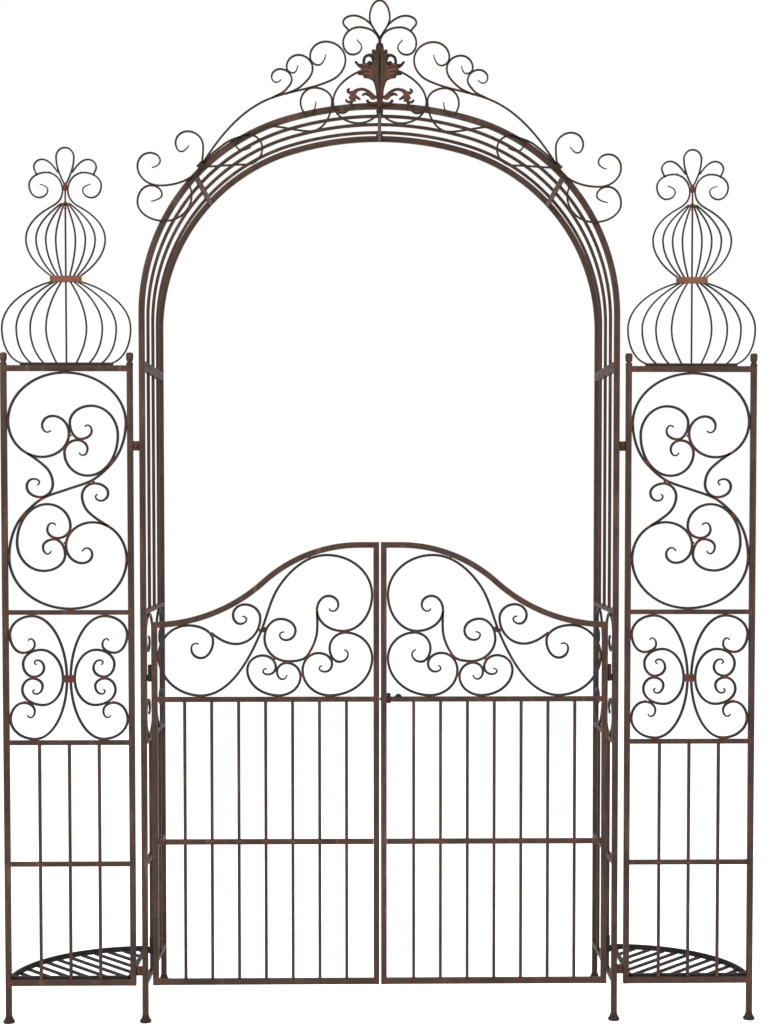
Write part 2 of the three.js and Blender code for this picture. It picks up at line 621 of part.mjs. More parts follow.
function hingeBarrelGeometry(mirror) {
  const barrel = upright(KNUCKLE_RADIUS, SEAT, BARREL_HEIGHT);
  const reach = [KNUCKLE_RADIUS * LUG_START_SHARE, HINGE_TO_STILE - SEAT];
  const edges = reach.map((x) => mirror * x).sort((a, b) => a - b);
  const low = (BARREL_HEIGHT - LUG_HEIGHT) / 2;
  const lug = block([edges[0], -LUG_THICKNESS / 2, low], [edges[1], LUG_THICKNESS / 2, low + LUG_HEIGHT]);
  return cut(join([barrel, lug]), [upright(HINGE_PIN_RADIUS + SLIDE, -OVERRUN, BARREL_HEIGHT + OVERRUN)]);
}

function addLeaf(sideName, side) {
  const mirror = -side; // towards the middle of the arch
  const leaf = new THREE.Group();
  leaf.position.set(side * HINGE_X, FRONT_Y, 0);
  arch.add(leaf);
  addPiece(leaf, `leaf_frame_${sideName}`, leafFrameGeometry(mirror), "tube");
  addPiece(leaf, `leaf_bars_${sideName}`, leafBarsGeometry(mirror), "tube");
  addPiece(leaf, `leaf_scrolls_${sideName}`, leafScrollGeometry(mirror), "scroll");
  for (const [level, height] of Object.entries(HINGE_HEIGHTS)) {
    const pin = addPiece(leaf, `hinge_pin_${level}_${sideName}`, hingePinGeometry(mirror), "hinge");
    pin.position.z = height;
    const barrel = addPiece(leaf, `hinge_barrel_${level}_${sideName}`, hingeBarrelGeometry(mirror), "hinge");
    barrel.position.z = height;
  }
  if (side === RIGHT) {
    addPiece(leaf, "latch_bolt", latchBoltGeometry(mirror), "hinge");
    addPiece(leaf, "latch_guide", latchGuideGeometry(mirror), "collar");
  }
}

// Side panels
function panelFrameGeometry(side) {
  const low = RAIL_HEIGHTS.bottom - HALF_POST;
  const outer = side * PANEL_OUTER_X;
  const inner = side * PANEL_INNER_X;
  const post = (x, bottom) => (
    block([x - HALF_POST, -HALF_POST, bottom], [x + HALF_POST, HALF_POST, PANEL_TOP])
  );
  const rail = (height, size) => block(
    [Math.min(outer, inner), -size / 2, height - size / 2],
    [Math.max(outer, inner), size / 2, height + size / 2],
  );
  return join([
    post(outer, FOOT_HEIGHT + SEAT),
    post(inner, low),
    rail(RAIL_HEIGHTS.bottom, POST),
    rail(TOP_RAIL_HEIGHT, POST),
    rail(RAIL_HEIGHTS.waist, RAIL),
    rail(RAIL_HEIGHTS.scroll, RAIL),
  ]);
}

function panelBarsGeometry(side) {
  const low = RAIL_HEIGHTS.bottom + HALF_POST + SEAT;
  const high = RAIL_HEIGHTS.waist - RAIL / 2 - SEAT;
  const bars = Array.from({ length: PANEL_BARS }, (_, index) => {
    const x = side * (PANEL_INNER_X + (PANEL_SPAN * (index + 1)) / (PANEL_BARS + 1));
    return block([x - BAR / 2, -BAR / 2, low], [x + BAR / 2, BAR / 2, high]);
  });
  const clear = HALF_POST + SEAT;
  const ends = [side * (PANEL_INNER_X + clear), side * (PANEL_OUTER_X - clear)].sort((a, b) => a - b);
  const half = RAIL / 2;
  const rail = block([ends[0], -half, RAIL_HEIGHTS.low - half], [ends[1], half, RAIL_HEIGHTS.low + half]);
  return join([...bars, rail]);
}

// Tall scrolls of a panel, as shares from the outer post to the inner one and from the lower rail to the upper
// one: a long S, a loop nested in each of its bends and a sprig off each bend
const TALL_SCROLL_SHARES = {
  longS: [
    [0.362, 0.752, 150], [0.295, 0.777, 90], [0.378, 0.817, 0], [0.516, 0.744, 270], [0.286, 0.644, 180],
    [0, 0.795, 90], [0.485, 1, 0], [1, 0.79, 270], [0.853, 0.603, 225], [0.68, 0.538, 203],
    [0.5, 0.507, 199], [0.32, 0.476, 203], [0.147, 0.411, 225], [0, 0.217, 270], [0.515, 0, 0],
    [1, 0.212, 90], [0.714, 0.367, 180], [0.484, 0.267, 270], [0.622, 0.194, 0], [0.705, 0.234, 90],
    [0.638, 0.259, 150],
  ],
  upperLoop: [
    [0.658, 0.775, -20], [0.711, 0.751, 270], [0.615, 0.72, 180], [0.524, 0.788, 90], [0.707, 0.86, 0],
    [0.932, 0.736, 270], [0.673, 0.565, 180], [0.477, 0.662, 90], [0.585, 0.715, 0], [0.677, 0.677, 270],
    [0.614, 0.657, 170],
  ],
  lowerLoop: [
    [0.342, 0.243, 160], [0.289, 0.266, 90], [0.385, 0.295, 0], [0.476, 0.23, 270], [0.293, 0.161, 180],
    [0.068, 0.28, 90], [0.327, 0.444, 0], [0.523, 0.351, 270], [0.415, 0.3, 180], [0.323, 0.337, 90],
    [0.386, 0.356, 350],
  ],
  upperSprig: [
    [0.157, 0.66, -30], [0.31, 0.604, -42], [0.376, 0.529, 270], [0.268, 0.474, 180], [0.154, 0.522, 90],
    [0.217, 0.551, 0], [0.262, 0.522, 270],
  ],
  lowerSprig: [
    [0.843, 0.352, 150], [0.69, 0.405, 138], [0.624, 0.478, 90], [0.732, 0.532, 0], [0.846, 0.484, 270],
    [0.783, 0.455, 180], [0.738, 0.484, 90],
  ],
};
const TALL_WELD_SHARES = [
  [0.855, 0.607, 1.6, 1.5], [0.157, 0.66, 1.5, 1.4], [0.492, 0.69, 1.5, 1.5], [0.28, 0.47, 1.4, 1.3],
  [0.143, 0.405, 1.6, 1.5], [0.843, 0.352, 1.5, 1.4], [0.508, 0.323, 1.5, 1.5], [0.72, 0.54, 1.4, 1.3],
];

function tallScrollGeometry(side) {
  const inset = HALF_POST + SCROLL / 2 + SEAT;
  const railInset = SCROLL / 2 + SEAT;
  const low = RAIL_HEIGHTS.scroll + RAIL / 2 + railInset;
  const high = TOP_RAIL_HEIGHT - HALF_POST - railInset;
  const sheet = drawing(side * (PANEL_OUTER_X - inset), PANEL_SPAN - 2 * inset, low, high - low, -side);
  const curls = Object.entries(TALL_SCROLL_SHARES).map(([name, keys]) => (
    scroll(keys, sheet, SCROLL, [!name.endsWith("Sprig"), true])
  ));
  return join([...curls, ...welds(TALL_WELD_SHARES, sheet, SCROLL)]);
}

// Low scrolls of a panel: two nested curls, mirrored about the middle and held by a collar
const LOW_SCROLL_SHARES = {
  outer: [
    [0.157, 0.812, 20], [0.211, 0.765, 270], [0.11, 0.702, 180], [0, 0.85, 90], [0.19, 1, 0],
    [0.484, 0.49, 270], [0.207, 0, 180], [0, 0.16, 90], [0.116, 0.295, 0], [0.203, 0.224, 270],
    [0.141, 0.184, 180],
  ],
  inner: [
    [0.207, 0.618, 60], [0.233, 0.642, 0], [0.289, 0.578, 270], [0.201, 0.507, 180], [0.11, 0.61, 90],
    [0.265, 0.726, 0], [0.45, 0.49, 270], [0.303, 0.281, 180], [0.102, 0.401, 90], [0.191, 0.493, 0],
    [0.275, 0.431, 270], [0.215, 0.367, 180], [0.19, 0.398, 100],
  ],
};
const LOW_COLLAR_SHARES = [[0.5, 0.49, 5.6, 3.8]];
const LOW_WELD_SHARES = [[0.197, 0.5, 1.4, 1.4], [0.803, 0.5, 1.4, 1.4]];

function lowScrollGeometry(start, width, low, high, mirror, names) {
  const sheet = drawing(start, width, low, high - low, mirror);
  const opposite = drawing(start + mirror * width, width, low, high - low, -mirror);
  const curls = names.flatMap((name) => (
    [sheet, opposite].map((each) => scroll(LOW_SCROLL_SHARES[name], each, SCROLL, [true, true]))
  ));
  const collars = welds(LOW_COLLAR_SHARES, sheet, SCROLL, COLLAR_DEPTH_SHARE * SCROLL);
  return join([...curls, ...collars, ...welds(names.length > 1 ? LOW_WELD_SHARES : [], sheet, SCROLL)]);
}

function panelLowScrollGeometry(side) {
  const inset = HALF_POST + SCROLL / 2 + SEAT;
  const railInset = RAIL / 2 + SCROLL / 2 + SEAT;
  return lowScrollGeometry(
    side * (PANEL_OUTER_X - inset), PANEL_SPAN - 2 * inset,
    RAIL_HEIGHTS.waist + railInset, RAIL_HEIGHTS.scroll - railInset, -side, ["outer", "inner"],
  );
}

// The same scrolls in the ladder between a front and a back post, drawn along its depth
function addSideScrolls(sideName, side) {
  const inset = HALF_POST + SEAT + BAR + SEAT + SCROLL / 2;
  const railInset = RAIL / 2 + SCROLL / 2 + SEAT;
  const geometry = lowScrollGeometry(
    FRONT_Y + inset, DEPTH_SPAN - 2 * inset,
    RAIL_HEIGHTS.waist + railInset, RAIL_HEIGHTS.scroll - railInset, 1, ["outer"],
  );
  const mesh = addPiece(arch, `side_scrolls_${sideName}`, geometry, "scroll");
  mesh.rotation.z = QUARTER;
  mesh.position.x = side * (POST_X - HALF_POST + BAR / 2);
}

// Turned knobs on the panel posts
const KNOB_PROFILE_SHARES = [
  [0, 0], [0.9, 0], [0.9, 0.19], [0.65, 0.27], [0.98, 0.48], [0.98, 0.86], [0.5, 1], [0, 1],
];

function knobGeometry() {
  const profile = KNOB_PROFILE_SHARES.map(([radius, up]) => (
    new THREE.Vector2(radius * KNOB_RADIUS, up * KNOB_HEIGHT)
  ));
  return new THREE.LatheGeometry(profile, ROUND_SIDES).rotateX(QUARTER);
}

// Bulb finials. A wire has shares across at its foot, its widest place and its top, and headings at foot and top.
const BULB_SHARES = {
  lower: { foot: 0.01, widest: 0.17, top: 0.385 },
  upper: { foot: 0.41, widest: 0.58, top: 0.745 },
};
const BULB_WIRE_SHARES = {
  lower: [
    { across: [0, 0, 0], headings: [90, 90] }, { across: [0.155, 0.32, 0.07], headings: [62, 122] },
    { across: [0.36, 0.57, 0.125], headings: [45, 143] }, { across: [0.56, 0.79, 0.18], headings: [38, 152] },
    { across: [0.72, 1.018, 0.225], headings: [18, 165] },
  ],
  upper: [
    { across: [0, 0, 0], headings: [90, 90] }, { across: [0.06, 0.155, 0.02], headings: [74, 108] },
    { across: [0.12, 0.312, 0.04], headings: [58, 128] },
    { across: [0.175, 0.466, 0.062], headings: [46, 142] },
  ],
};
// Fleurons of the finials and the crest. A finial's curl is the end of its outermost upper wire.
const FLEURON_SHARES = {
  finial: {
    loop: [[0, 0.826, 62], [0.14, 0.957, 90], [0, 1, 180]],
    petal: [[0.11, 0.886, 55], [0.36, 0.946, 0], [0.491, 0.911, 270], [0.44, 0.872, 250]],
    curl: [
      [0.225, 0.41, 34], [0.625, 0.58, 90], [0.268, 0.721, 150], [0.089, 0.76, 126], [0.042, 0.805, 90],
      [0.298, 0.886, 0], [0.568, 0.827, 270], [0.414, 0.771, 180], [0.275, 0.806, 90], [0.4, 0.832, 10],
    ],
  },
  crest: {
    loop: [[0, 0.621, 62], [0.092, 0.83, 90], [0, 1, 180]],
    petal: [[0.07, 0.756, 45], [0.237, 0.857, 0], [0.335, 0.785, 270], [0.285, 0.7, 240]],
    curl: [
      [0.01, 0.615, 75], [0.186, 0.727, 0], [0.335, 0.573, 270], [0.247, 0.462, 180], [0.165, 0.537, 90],
      [0.209, 0.607, 55],
    ],
  },
};

// Heights of a finial's waist band, of the ring where its upper wires meet and of the weld under its loop
const FINIAL_COLLAR_SHARES = { band: 0.3975, ring: 0.742, neck: 0.818 };

// Teardrop loop, two petals and two curls, on both sides of a middle line
function fleuron(keys, sheets, width) {
  return sheets.flatMap((sheet) => [
    scroll(keys.loop, sheet, width, [false, false]),
    scroll(keys.petal, sheet, width, [false, false]),
    scroll(keys.curl, sheet, width, [false, true]),
  ]);
}

function bulbFinialGeometry() {
  const sheets = [1, -1].map((mirror) => drawing(0, FINIAL_HALF_WIDTH, SEAT, FINIAL_RISE, mirror));
  const wires = Object.entries(BULB_WIRE_SHARES).flatMap(([bulb, rows]) => {
    const levels = BULB_SHARES[bulb];
    return rows.flatMap(({ across, headings }, index) => {
      const keys = [
        [across[0], levels.foot, headings[0]],
        [across[1], levels.widest, 90],
        [across[2], levels.top, headings[1]],
      ];
      const used = index === 0 ? [keys[0], keys[2]] : keys;
      return sheets.slice(0, index === 0 ? 1 : 2).map((sheet) => scroll(used, sheet, FINIAL_WIRE));
    });
  });
  const [sheet] = sheets;
  const fitted = (up, width, height) => pad(sheet.point(0, up), width, height, FINIAL_BAND_DEPTH);
  const collars = [
    fitted(FINIAL_COLLAR_SHARES.band, FINIAL_BAND_WIDTH, FINIAL_BAND_HEIGHT),
    fitted(FINIAL_COLLAR_SHARES.ring, FINIAL_RING, FINIAL_RING),
    fitted(FINIAL_COLLAR_SHARES.neck, FINIAL_NECK_WIDTH, FINIAL_NECK_HEIGHT),
    fitted(0, FINIAL_BASE_WIDTH, 2 * FINIAL_BASE_THICKNESS),
  ];
  const ring = sheet.point(0, FINIAL_COLLAR_SHARES.ring);
  const stem = block(
    [-FINIAL_WIRE / 2, -FINIAL_WIRE / 2, ring.y],
    [FINIAL_WIRE / 2, FINIAL_WIRE / 2, sheet.point(0, FINIAL_COLLAR_SHARES.neck).y],
  );
  const whole = join([...wires, ...fleuron(FLEURON_SHARES.finial, sheets, FINIAL_WIRE), ...collars, stem]);
  const below = block(
    [-FINIAL_HALF_WIDTH, -FINIAL_BAND_DEPTH, -FINIAL_RISE], [FINIAL_HALF_WIDTH, FINIAL_BAND_DEPTH, SEAT],
  );
  return cut(whole, [below]);
}

// Corner shelves: a quarter round behind each panel, with slats across its corner
function shelfGeometry(side) {
  const radius = PANEL_SPAN - POST - SEAT;
  const half = SHELF_RAIL / 2;
  const sheet = drawing(0, 1, 0, 1, side);
  const middleRadius = radius - half;
  const steps = Math.ceil(QUARTER * facetsPerRadian(middleRadius));
  const rim = Array.from({ length: steps + 1 }, (_, step) => {
    const angle = (QUARTER * step) / steps;
    const way = new THREE.Vector2(side * Math.cos(angle), Math.sin(angle));
    return { point: way.clone().multiplyScalar(middleRadius), normal: way };
  });
  const flat = (geometry, height) => geometry.rotateX(-QUARTER).translate(0, 0, (SHELF_HEIGHT - height) / 2);
  const bar = (from, to, width, height) => {
    const along = to.clone().sub(from).normalize();
    const normal = new THREE.Vector2(-along.y, along.x);
    return flat(bentBar([{ point: from, normal }, { point: to, normal }], width, height), height);
  };
  const rails = [
    flat(bentBar(rim, SHELF_RAIL, SHELF_HEIGHT), SHELF_HEIGHT),
    bar(sheet.point(0, half), sheet.point(middleRadius, half), SHELF_RAIL, SHELF_HEIGHT),
    bar(sheet.point(half, 0), sheet.point(half, middleRadius), SHELF_RAIL, SHELF_HEIGHT),
  ];
  const slope = THREE.MathUtils.degToRad(SLAT_ANGLE);
  const reach = middleRadius * (Math.sin(slope) + Math.cos(slope));
  const slats = Array.from({ length: SHELF_SLATS }, (_, index) => {
    const offset = (reach * (index + 1)) / (SHELF_SLATS + 1) - middleRadius * Math.cos(slope);
    const ends = slatEnds(offset, slope, half, middleRadius);
    return bar(sheet.point(ends[0].x, ends[0].y), sheet.point(ends[1].x, ends[1].y), SLAT, SLAT);
  });
  return join([...rails, ...slats]);
}

// Where a slat with this offset from the corner leaves the straight rails and meets the rim
function slatEnds(offset, slope, half, radius) {
  const along = new THREE.Vector2(Math.cos(slope), Math.sin(slope));
  const across = new THREE.Vector2(-Math.sin(slope), Math.cos(slope));
  const base = across.clone().multiplyScalar(offset);
  const toX = (half - base.x) / along.x;
  const toY = (half - base.y) / along.y;
  const toRim = Math.sqrt(radius * radius - offset * offset);
  const start = base.clone().addScaledVector(along, Math.max(toX, toY));
  return [start, base.clone().addScaledVector(along, toRim)];
}

// Tabs with a screw and nut between a panel's inner post and the arch's front post
function bracketGeometry() {
  const width = PANEL_GAP - POST - 2 * SEAT;
  const plate = new THREE.BoxGeometry(width, BRACKET_THICKNESS, BRACKET_HEIGHT);
  const bolt = new THREE.CylinderGeometry(
    BRACKET_BOLT_RADIUS, BRACKET_BOLT_RADIUS, BRACKET_BOLT_LENGTH, ROUND_SIDES,
  );
  return join([plate, bolt]);
}

// Crest, as shares of its half width outwards and of its rise above the hoop
const CREST_SHARES = {
  second: [
    [0.751, 0.382, -80], [0.795, 0.308, 0], [0.856, 0.366, 90], [0.747, 0.482, 180], [0.616, 0.349, 270],
    [0.721, 0.163, -40], [0.86, 0.078, -24],
  ],
  third: [
    [0.905, 0.246, -40], [0.949, 0.218, 0], [0.996, 0.273, 90], [0.914, 0.348, 180], [0.809, 0.237, 270],
    [0.862, 0.126, -50], [0.985, 0.041, -30],
  ],
  bow: [[0, 0.33, 5], [0.195, 0.295, -25], [0.427, 0, 270], [0.195, -0.202, 180], [0, -0.09, 125]],
};
const HAUNCH_SHARES = {
  back: [
    [-0.779, 0.34, -20], [-0.64, 0.289, 0], [-0.537, 0.426, 90], [-0.75, 0.57, 180], [-0.953, 0.33, 270],
    [-0.7, 0.03, 0], [0, -0.01, 0],
  ],
  upper: [
    [0.19, 0.374, -60], [0.304, 0.262, 0], [0.392, 0.421, 90], [0.205, 0.63, 180], [-0.035, 0.359, 270],
    [0, 0, 285],
  ],
  outer: [
    [0.763, -0.031, 170], [0.632, 0.096, 90], [0.79, 0.238, 0], [0.985, -0.004, 270], [0.64, -0.355, 180],
    [0, 0, 120],
  ],
  lower: [
    [0.78, -0.643, 170], [0.607, -0.52, 90], [0.779, -0.354, 0], [0.988, -0.654, 270], [0.57, -1, 180],
    [0.168, -0.39, 70], [0.02, 0, 66],
  ],
};
// Bars that start over the crown and end at the haunch collar: their crown keys, then their haunch keys
const TAIL_SHARES = {
  first: {
    crown: [
      [0.493, 0.48, -80], [0.563, 0.377, 0], [0.637, 0.46, 90], [0.493, 0.604, 180], [0.314, 0.425, 270],
      [0.441, 0.22, -25], [0.985, 0.041, -20],
    ],
    haunch: [[0, 0, -58]],
  },
  roll: {
    crown: [
      [0.585, 0.006, -90], [0.652, -0.119, 0], [0.725, -0.004, 90], [0.599, 0.14, 180], [0.438, 0.016, 270],
      [0.635, -0.282, 0], [0.95, -0.238, 6],
    ],
    haunch: [[-0.8, 0.6, -20], [-0.36, 0.4, -38], [0, 0.02, -52]],
  },
};
const BOW_COLLAR_SHARES = [0.432, -0.05];
const SPINE_MIDDLE_SHARE = 0.27; // height of the spine's middle

// Keys with their shares worked out to places, so that one bar can run over two drawings
function placeKeys(keys, sheet) {
  return keys.map(([across, up, heading]) => {
    const { x, y } = sheet.point(across, up);
    return [x * sheet.mirror, y, heading];
  });
}

function crestGeometry() {
  const haunch = THREE.MathUtils.degToRad(COLLAR_ANGLE);
  const collar = hoopPoint(1, CREST_WIRE / 2 - HALF_POST, haunch).point;
  const crowns = [1, -1].map((mirror) => drawing(0, CREST_HALF_WIDTH, CROWN_TOP, CREST_RISE, mirror));
  const curl = (keys, sheet, startsAsTip = true) => scroll(keys, sheet, CREST_WIRE, [startsAsTip, false]);
  const parts = crowns.flatMap((crown) => {
    const { mirror } = crown;
    const shoulder = drawing(mirror * collar.x, HAUNCH_REACH, collar.y, HAUNCH_RISE, mirror);
    const places = drawing(0, 1, 0, 1, mirror);
    return [
      ...Object.values(CREST_SHARES).map((keys) => curl(keys, crown, keys !== CREST_SHARES.bow)),
      ...Object.values(HAUNCH_SHARES).map((keys) => curl(keys, shoulder)),
      ...Object.values(TAIL_SHARES).map((rows) => (
        curl([...placeKeys(rows.crown, crown), ...placeKeys(rows.haunch, shoulder)], places)
      )),
      pad(collar.clone().setX(mirror * collar.x), HAUNCH_COLLAR, HAUNCH_COLLAR, CREST_WIRE),
      pad(crown.point(...BOW_COLLAR_SHARES), BOW_COLLAR_WIDTH, BOW_COLLAR_HEIGHT, CREST_WIRE),
    ];
  });
  const spine = pad(crowns[0].point(0, SPINE_MIDDLE_SHARE), SPINE_WIDTH, SPINE_HEIGHT, CREST_WIRE);
  return join([...parts, ...fleuron(FLEURON_SHARES.crest, crowns, CREST_WIRE), spine]);
}

// Cast leaf ornament, as shares of the crest: half of the leaf's outline, and the sprig beside its foot
const CAST_SHARES = {
  leaf: [
    [0, 0.567], [0.022, 0.545], [0.034, 0.506], [0.05, 0.515], [0.062, 0.49], [0.06, 0.46], [0.097, 0.4475],
    [0.14, 0.43], [0.148, 0.4], [0.135, 0.37], [0.18, 0.365], [0.216, 0.387], [0.208, 0.345], [0.165, 0.305],
    [0.2, 0.276], [0.15, 0.262], [0.143, 0.243], [0.1, 0.235], [0.085, 0.23], [0.057, 0.225], [0.036, 0.19],
    [0.032, 0.11], [0.045, 0.065], [0.045, 0.02], [0.024, -0.01], [0.024, -0.08], [0, -0.09],
  ],
  sprig: [
    [0.04, 0.1], [0.085, 0.127], [0.13, 0.149], [0.18, 0.145], [0.222, 0.11], [0.245, 0.104], [0.265, 0.142],
    [0.284, 0.125], [0.275, 0.088], [0.257, 0.07], [0.264, 0.042], [0.24, 0.04], [0.25, 0], [0.272, -0.047],
    [0.31, -0.088], [0.35, -0.1], [0.396, -0.082], [0.388, -0.113], [0.31, -0.124], [0.255, -0.082],
    [0.228, -0.036], [0.21, 0.009], [0.163, 0.034], [0.187, 0.064], [0.197, 0.09], [0.175, 0.112],
    [0.13, 0.116], [0.095, 0.095], [0.07, 0.055], [0.04, 0.02],
  ],
};

function castLeafGeometry() {
  const sheet = drawing(0, CREST_HALF_WIDTH, CROWN_TOP, CREST_RISE);
  const draw = (shares, mirror) => shares.map(([across, up]) => sheet.point(mirror * across, up));
  const leaf = [...draw(CAST_SHARES.leaf, 1), ...draw(CAST_SHARES.leaf.slice(1, -1).reverse(), -1)];
  const outlines = [leaf, draw(CAST_SHARES.sprig, 1), draw(CAST_SHARES.sprig, -1)];
  return join(outlines.map((outline) => (
    new THREE.ExtrudeGeometry(new THREE.Shape(outline), { depth: LEAF_CAST_THICKNESS, bevelEnabled: false })
      .rotateX(QUARTER).translate(0, LEAF_CAST_THICKNESS / 2, 0)
  )));
}

// Whole arch
for (const [sideName, side] of Object.entries(SIDES)) {
  for (const [end, y] of Object.entries({ front: FRONT_Y, back: BACK_Y })) {
    addPiece(arch, `post_${end}_${sideName}`, postGeometry(), "tube").position.set(side * POST_X, y, 0);
    addPiece(arch, `arch_${end}_tube_${sideName}`, hoopTubeGeometry(side), "tube").position.y = y;
    addFoot(`foot_${end}_${sideName}`, side * POST_X, y);
  }
  addPiece(arch, `arch_lattice_${sideName}`, hoopLatticeGeometry(side), "tube");
  addPiece(arch, `side_ladder_${sideName}`, ladderGeometry(side), "tube");
  addSideScrolls(sideName, side);
  addLeaf(sideName, side);

  const panel = new THREE.Group();
  panel.position.y = FRONT_Y;
  arch.add(panel);
  addPiece(panel, `panel_frame_${sideName}`, panelFrameGeometry(side), "tube");
  addPiece(panel, `panel_bars_${sideName}`, panelBarsGeometry(side), "tube");
  addPiece(panel, `panel_tall_scrolls_${sideName}`, tallScrollGeometry(side), "scroll");
  addPiece(panel, `panel_low_scrolls_${sideName}`, panelLowScrollGeometry(side), "scroll");
  for (const [place, x] of Object.entries({ inner: PANEL_INNER_X, outer: PANEL_OUTER_X })) {
    const knob = addPiece(panel, `post_knob_${place}_${sideName}`, knobGeometry(), "tube");
    knob.position.set(side * x, 0, PANEL_TOP + SEAT);
  }
  const finial = addPiece(panel, `bulb_finial_${sideName}`, bulbFinialGeometry(), "scroll");
  finial.position.set(side * (PANEL_INNER_X + PANEL_OUTER_X) / 2, 0, PANEL_TOP);
  const shelf = addPiece(panel, `corner_shelf_${sideName}`, shelfGeometry(side), "tube");
  shelf.position.set(side * (PANEL_INNER_X + HALF_POST), HALF_POST + SEAT, RAIL_HEIGHTS.bottom);
  for (const [level, height] of Object.entries(BRACKET_HEIGHTS)) {
    const bracket = addPiece(panel, `panel_bracket_${level}_${sideName}`, bracketGeometry(), "collar");
    bracket.position.set(side * (POST_X + PANEL_GAP / 2), 0, height);
  }
  addFoot(`foot_panel_${sideName}`, side * PANEL_OUTER_X, FRONT_Y);
}
addPiece(arch, "crown_scrollwork", crestGeometry(), "scroll").position.y = CREST_Y;
const castY = CREST_Y - CREST_WIRE / 2 - SEAT - LEAF_CAST_THICKNESS / 2;
addPiece(arch, "crown_leaf", castLeafGeometry(), "cast").position.y = castY;
crownBoltPlaces().forEach((y, index) => {
  const bolt = addPiece(arch, `crown_bolt_${index === 0 ? "front" : "back"}`, crownBoltGeometry(), "hinge");
  bolt.position.set(0, y, CROWN_HEIGHT - (POST - RAIL) / 2);
});

export default arch;
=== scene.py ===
"""Garden arch with a scrolled double gate and trellis side panels: fine bars, castings, welds, finishes and stage."""

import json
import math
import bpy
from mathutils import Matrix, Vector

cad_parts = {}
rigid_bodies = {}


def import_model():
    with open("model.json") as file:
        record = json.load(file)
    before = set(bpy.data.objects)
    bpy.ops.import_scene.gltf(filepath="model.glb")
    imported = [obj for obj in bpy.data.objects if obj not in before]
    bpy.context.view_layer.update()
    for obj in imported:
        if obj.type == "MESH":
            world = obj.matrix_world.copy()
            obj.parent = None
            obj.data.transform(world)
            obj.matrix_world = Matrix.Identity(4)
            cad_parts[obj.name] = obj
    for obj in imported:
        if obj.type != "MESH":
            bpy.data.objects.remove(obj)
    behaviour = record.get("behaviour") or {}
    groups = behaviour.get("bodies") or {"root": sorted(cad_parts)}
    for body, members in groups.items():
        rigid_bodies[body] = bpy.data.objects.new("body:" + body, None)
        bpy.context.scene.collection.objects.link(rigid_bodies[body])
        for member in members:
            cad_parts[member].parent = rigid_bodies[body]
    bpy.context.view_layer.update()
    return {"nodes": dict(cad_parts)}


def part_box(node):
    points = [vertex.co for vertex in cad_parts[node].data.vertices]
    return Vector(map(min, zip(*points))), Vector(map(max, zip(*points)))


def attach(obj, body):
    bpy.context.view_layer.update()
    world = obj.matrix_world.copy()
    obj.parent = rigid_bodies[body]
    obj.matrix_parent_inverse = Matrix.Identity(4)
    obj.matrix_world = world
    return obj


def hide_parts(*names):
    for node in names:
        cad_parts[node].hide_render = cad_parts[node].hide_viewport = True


bl_info = {
    "name": "Garden arch with gate",
    "version": (1, 0, 0),
    "blender": (4, 5, 0),
    "location": "3D View > Sidebar > Garden Arch",
    "description": "Builds the bent bars, castings, fittings and finishes of a garden arch with a gate",
    "category": "Object",
}

from collections import namedtuple

import bpy
import numpy as np
from mathutils import Matrix, Vector

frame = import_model()

SIDES = {"left": -1, "right": 1}
QUARTER = math.pi / 2


def middle(node):
    low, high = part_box(node)
    return (Vector(low) + Vector(high)) / 2


POST_X = middle("post_front_right").x
FRONT_Y = middle("post_front_right").y
BACK_Y = middle("post_back_right").y
SPRING_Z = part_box("arch_front_tube_right")[0][2]
CROWN_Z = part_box("arch_front_tube_right")[1][2]
ENDS = {"front": FRONT_Y, "back": BACK_Y}
ROD_YS = [FRONT_Y + (BACK_Y - FRONT_Y) * share for share in (0.25, 0.5, 0.75)]


# Properties

def length(name, default, description):
    return bpy.props.FloatProperty(name=name, default=default, min=0, unit="LENGTH", description=description)


def bend(name, degrees, description):
    return bpy.props.FloatProperty(name=name, default=math.radians(degrees), subtype="ANGLE", description=description)


def number(name, default, description):
    return bpy.props.IntProperty(name=name, default=default, min=1, description=description)


def colour(name, default, description):
    return bpy.props.FloatVectorProperty(
        name=name, default=[value / 255 for value in default], min=0, max=1, size=3,
        subtype="COLOR_GAMMA", description=description)


class ArchSizes(bpy.types.PropertyGroup):
    """Stock sizes and bends of the arch"""
    post_tube: length("Post tube", 0.015, "Side of the square tube of posts and hoops")
    leaf_tube: length("Leaf tube", 0.015, "Side of the square tube round each gate leaf")
    rail: length("Rail", 0.012, "Side of the crossbars between front and back")
    crown_bar: length("Crown bar", 0.0045, "Thickness of the flat crossbar at the end of each half hoop")
    leaf_rail: length("Leaf rail", 0.013, "Side of the middle rail of a gate leaf")
    bar: length("Bar", 0.008, "Side of the rods of the hoop")
    scroll_bar: length("Scroll bar", 0.0065, "Side of the square bar bent to scrolls")
    crest_wire: length("Crest wire", 0.0048, "Side of the square wire of the crest")
    finial_wire: length("Finial wire", 0.0043, "Side of the square wire of the bulb finials")
    seat: length("Seat", 0.0003, "Gap between two pieces that touch")
    soft_edge: length("Soft edge", 0.0009, "Rounding along the edges of tubes and rails")
    shoulder_radius: length("Shoulder radius", 0.521, "Centre line radius of the tight bend of a half hoop")
    stilt: length("Stilt", 0.130, "Straight foot of a half hoop")
    crown_slope: bend("Crown slope", 16.4, "Slope where the tight bend eases into the flat one over the crown")
    haunch_angle: bend("Haunch bar", 43, "Place of the lattice's upper crossbar on the tight bend")
    collar_angle: bend("Haunch collar", 46, "Place of the crest's outer collar on the tight bend")
    weld_size: length("Weld", 0.0075, "Width of a weld bead on the scroll bars")


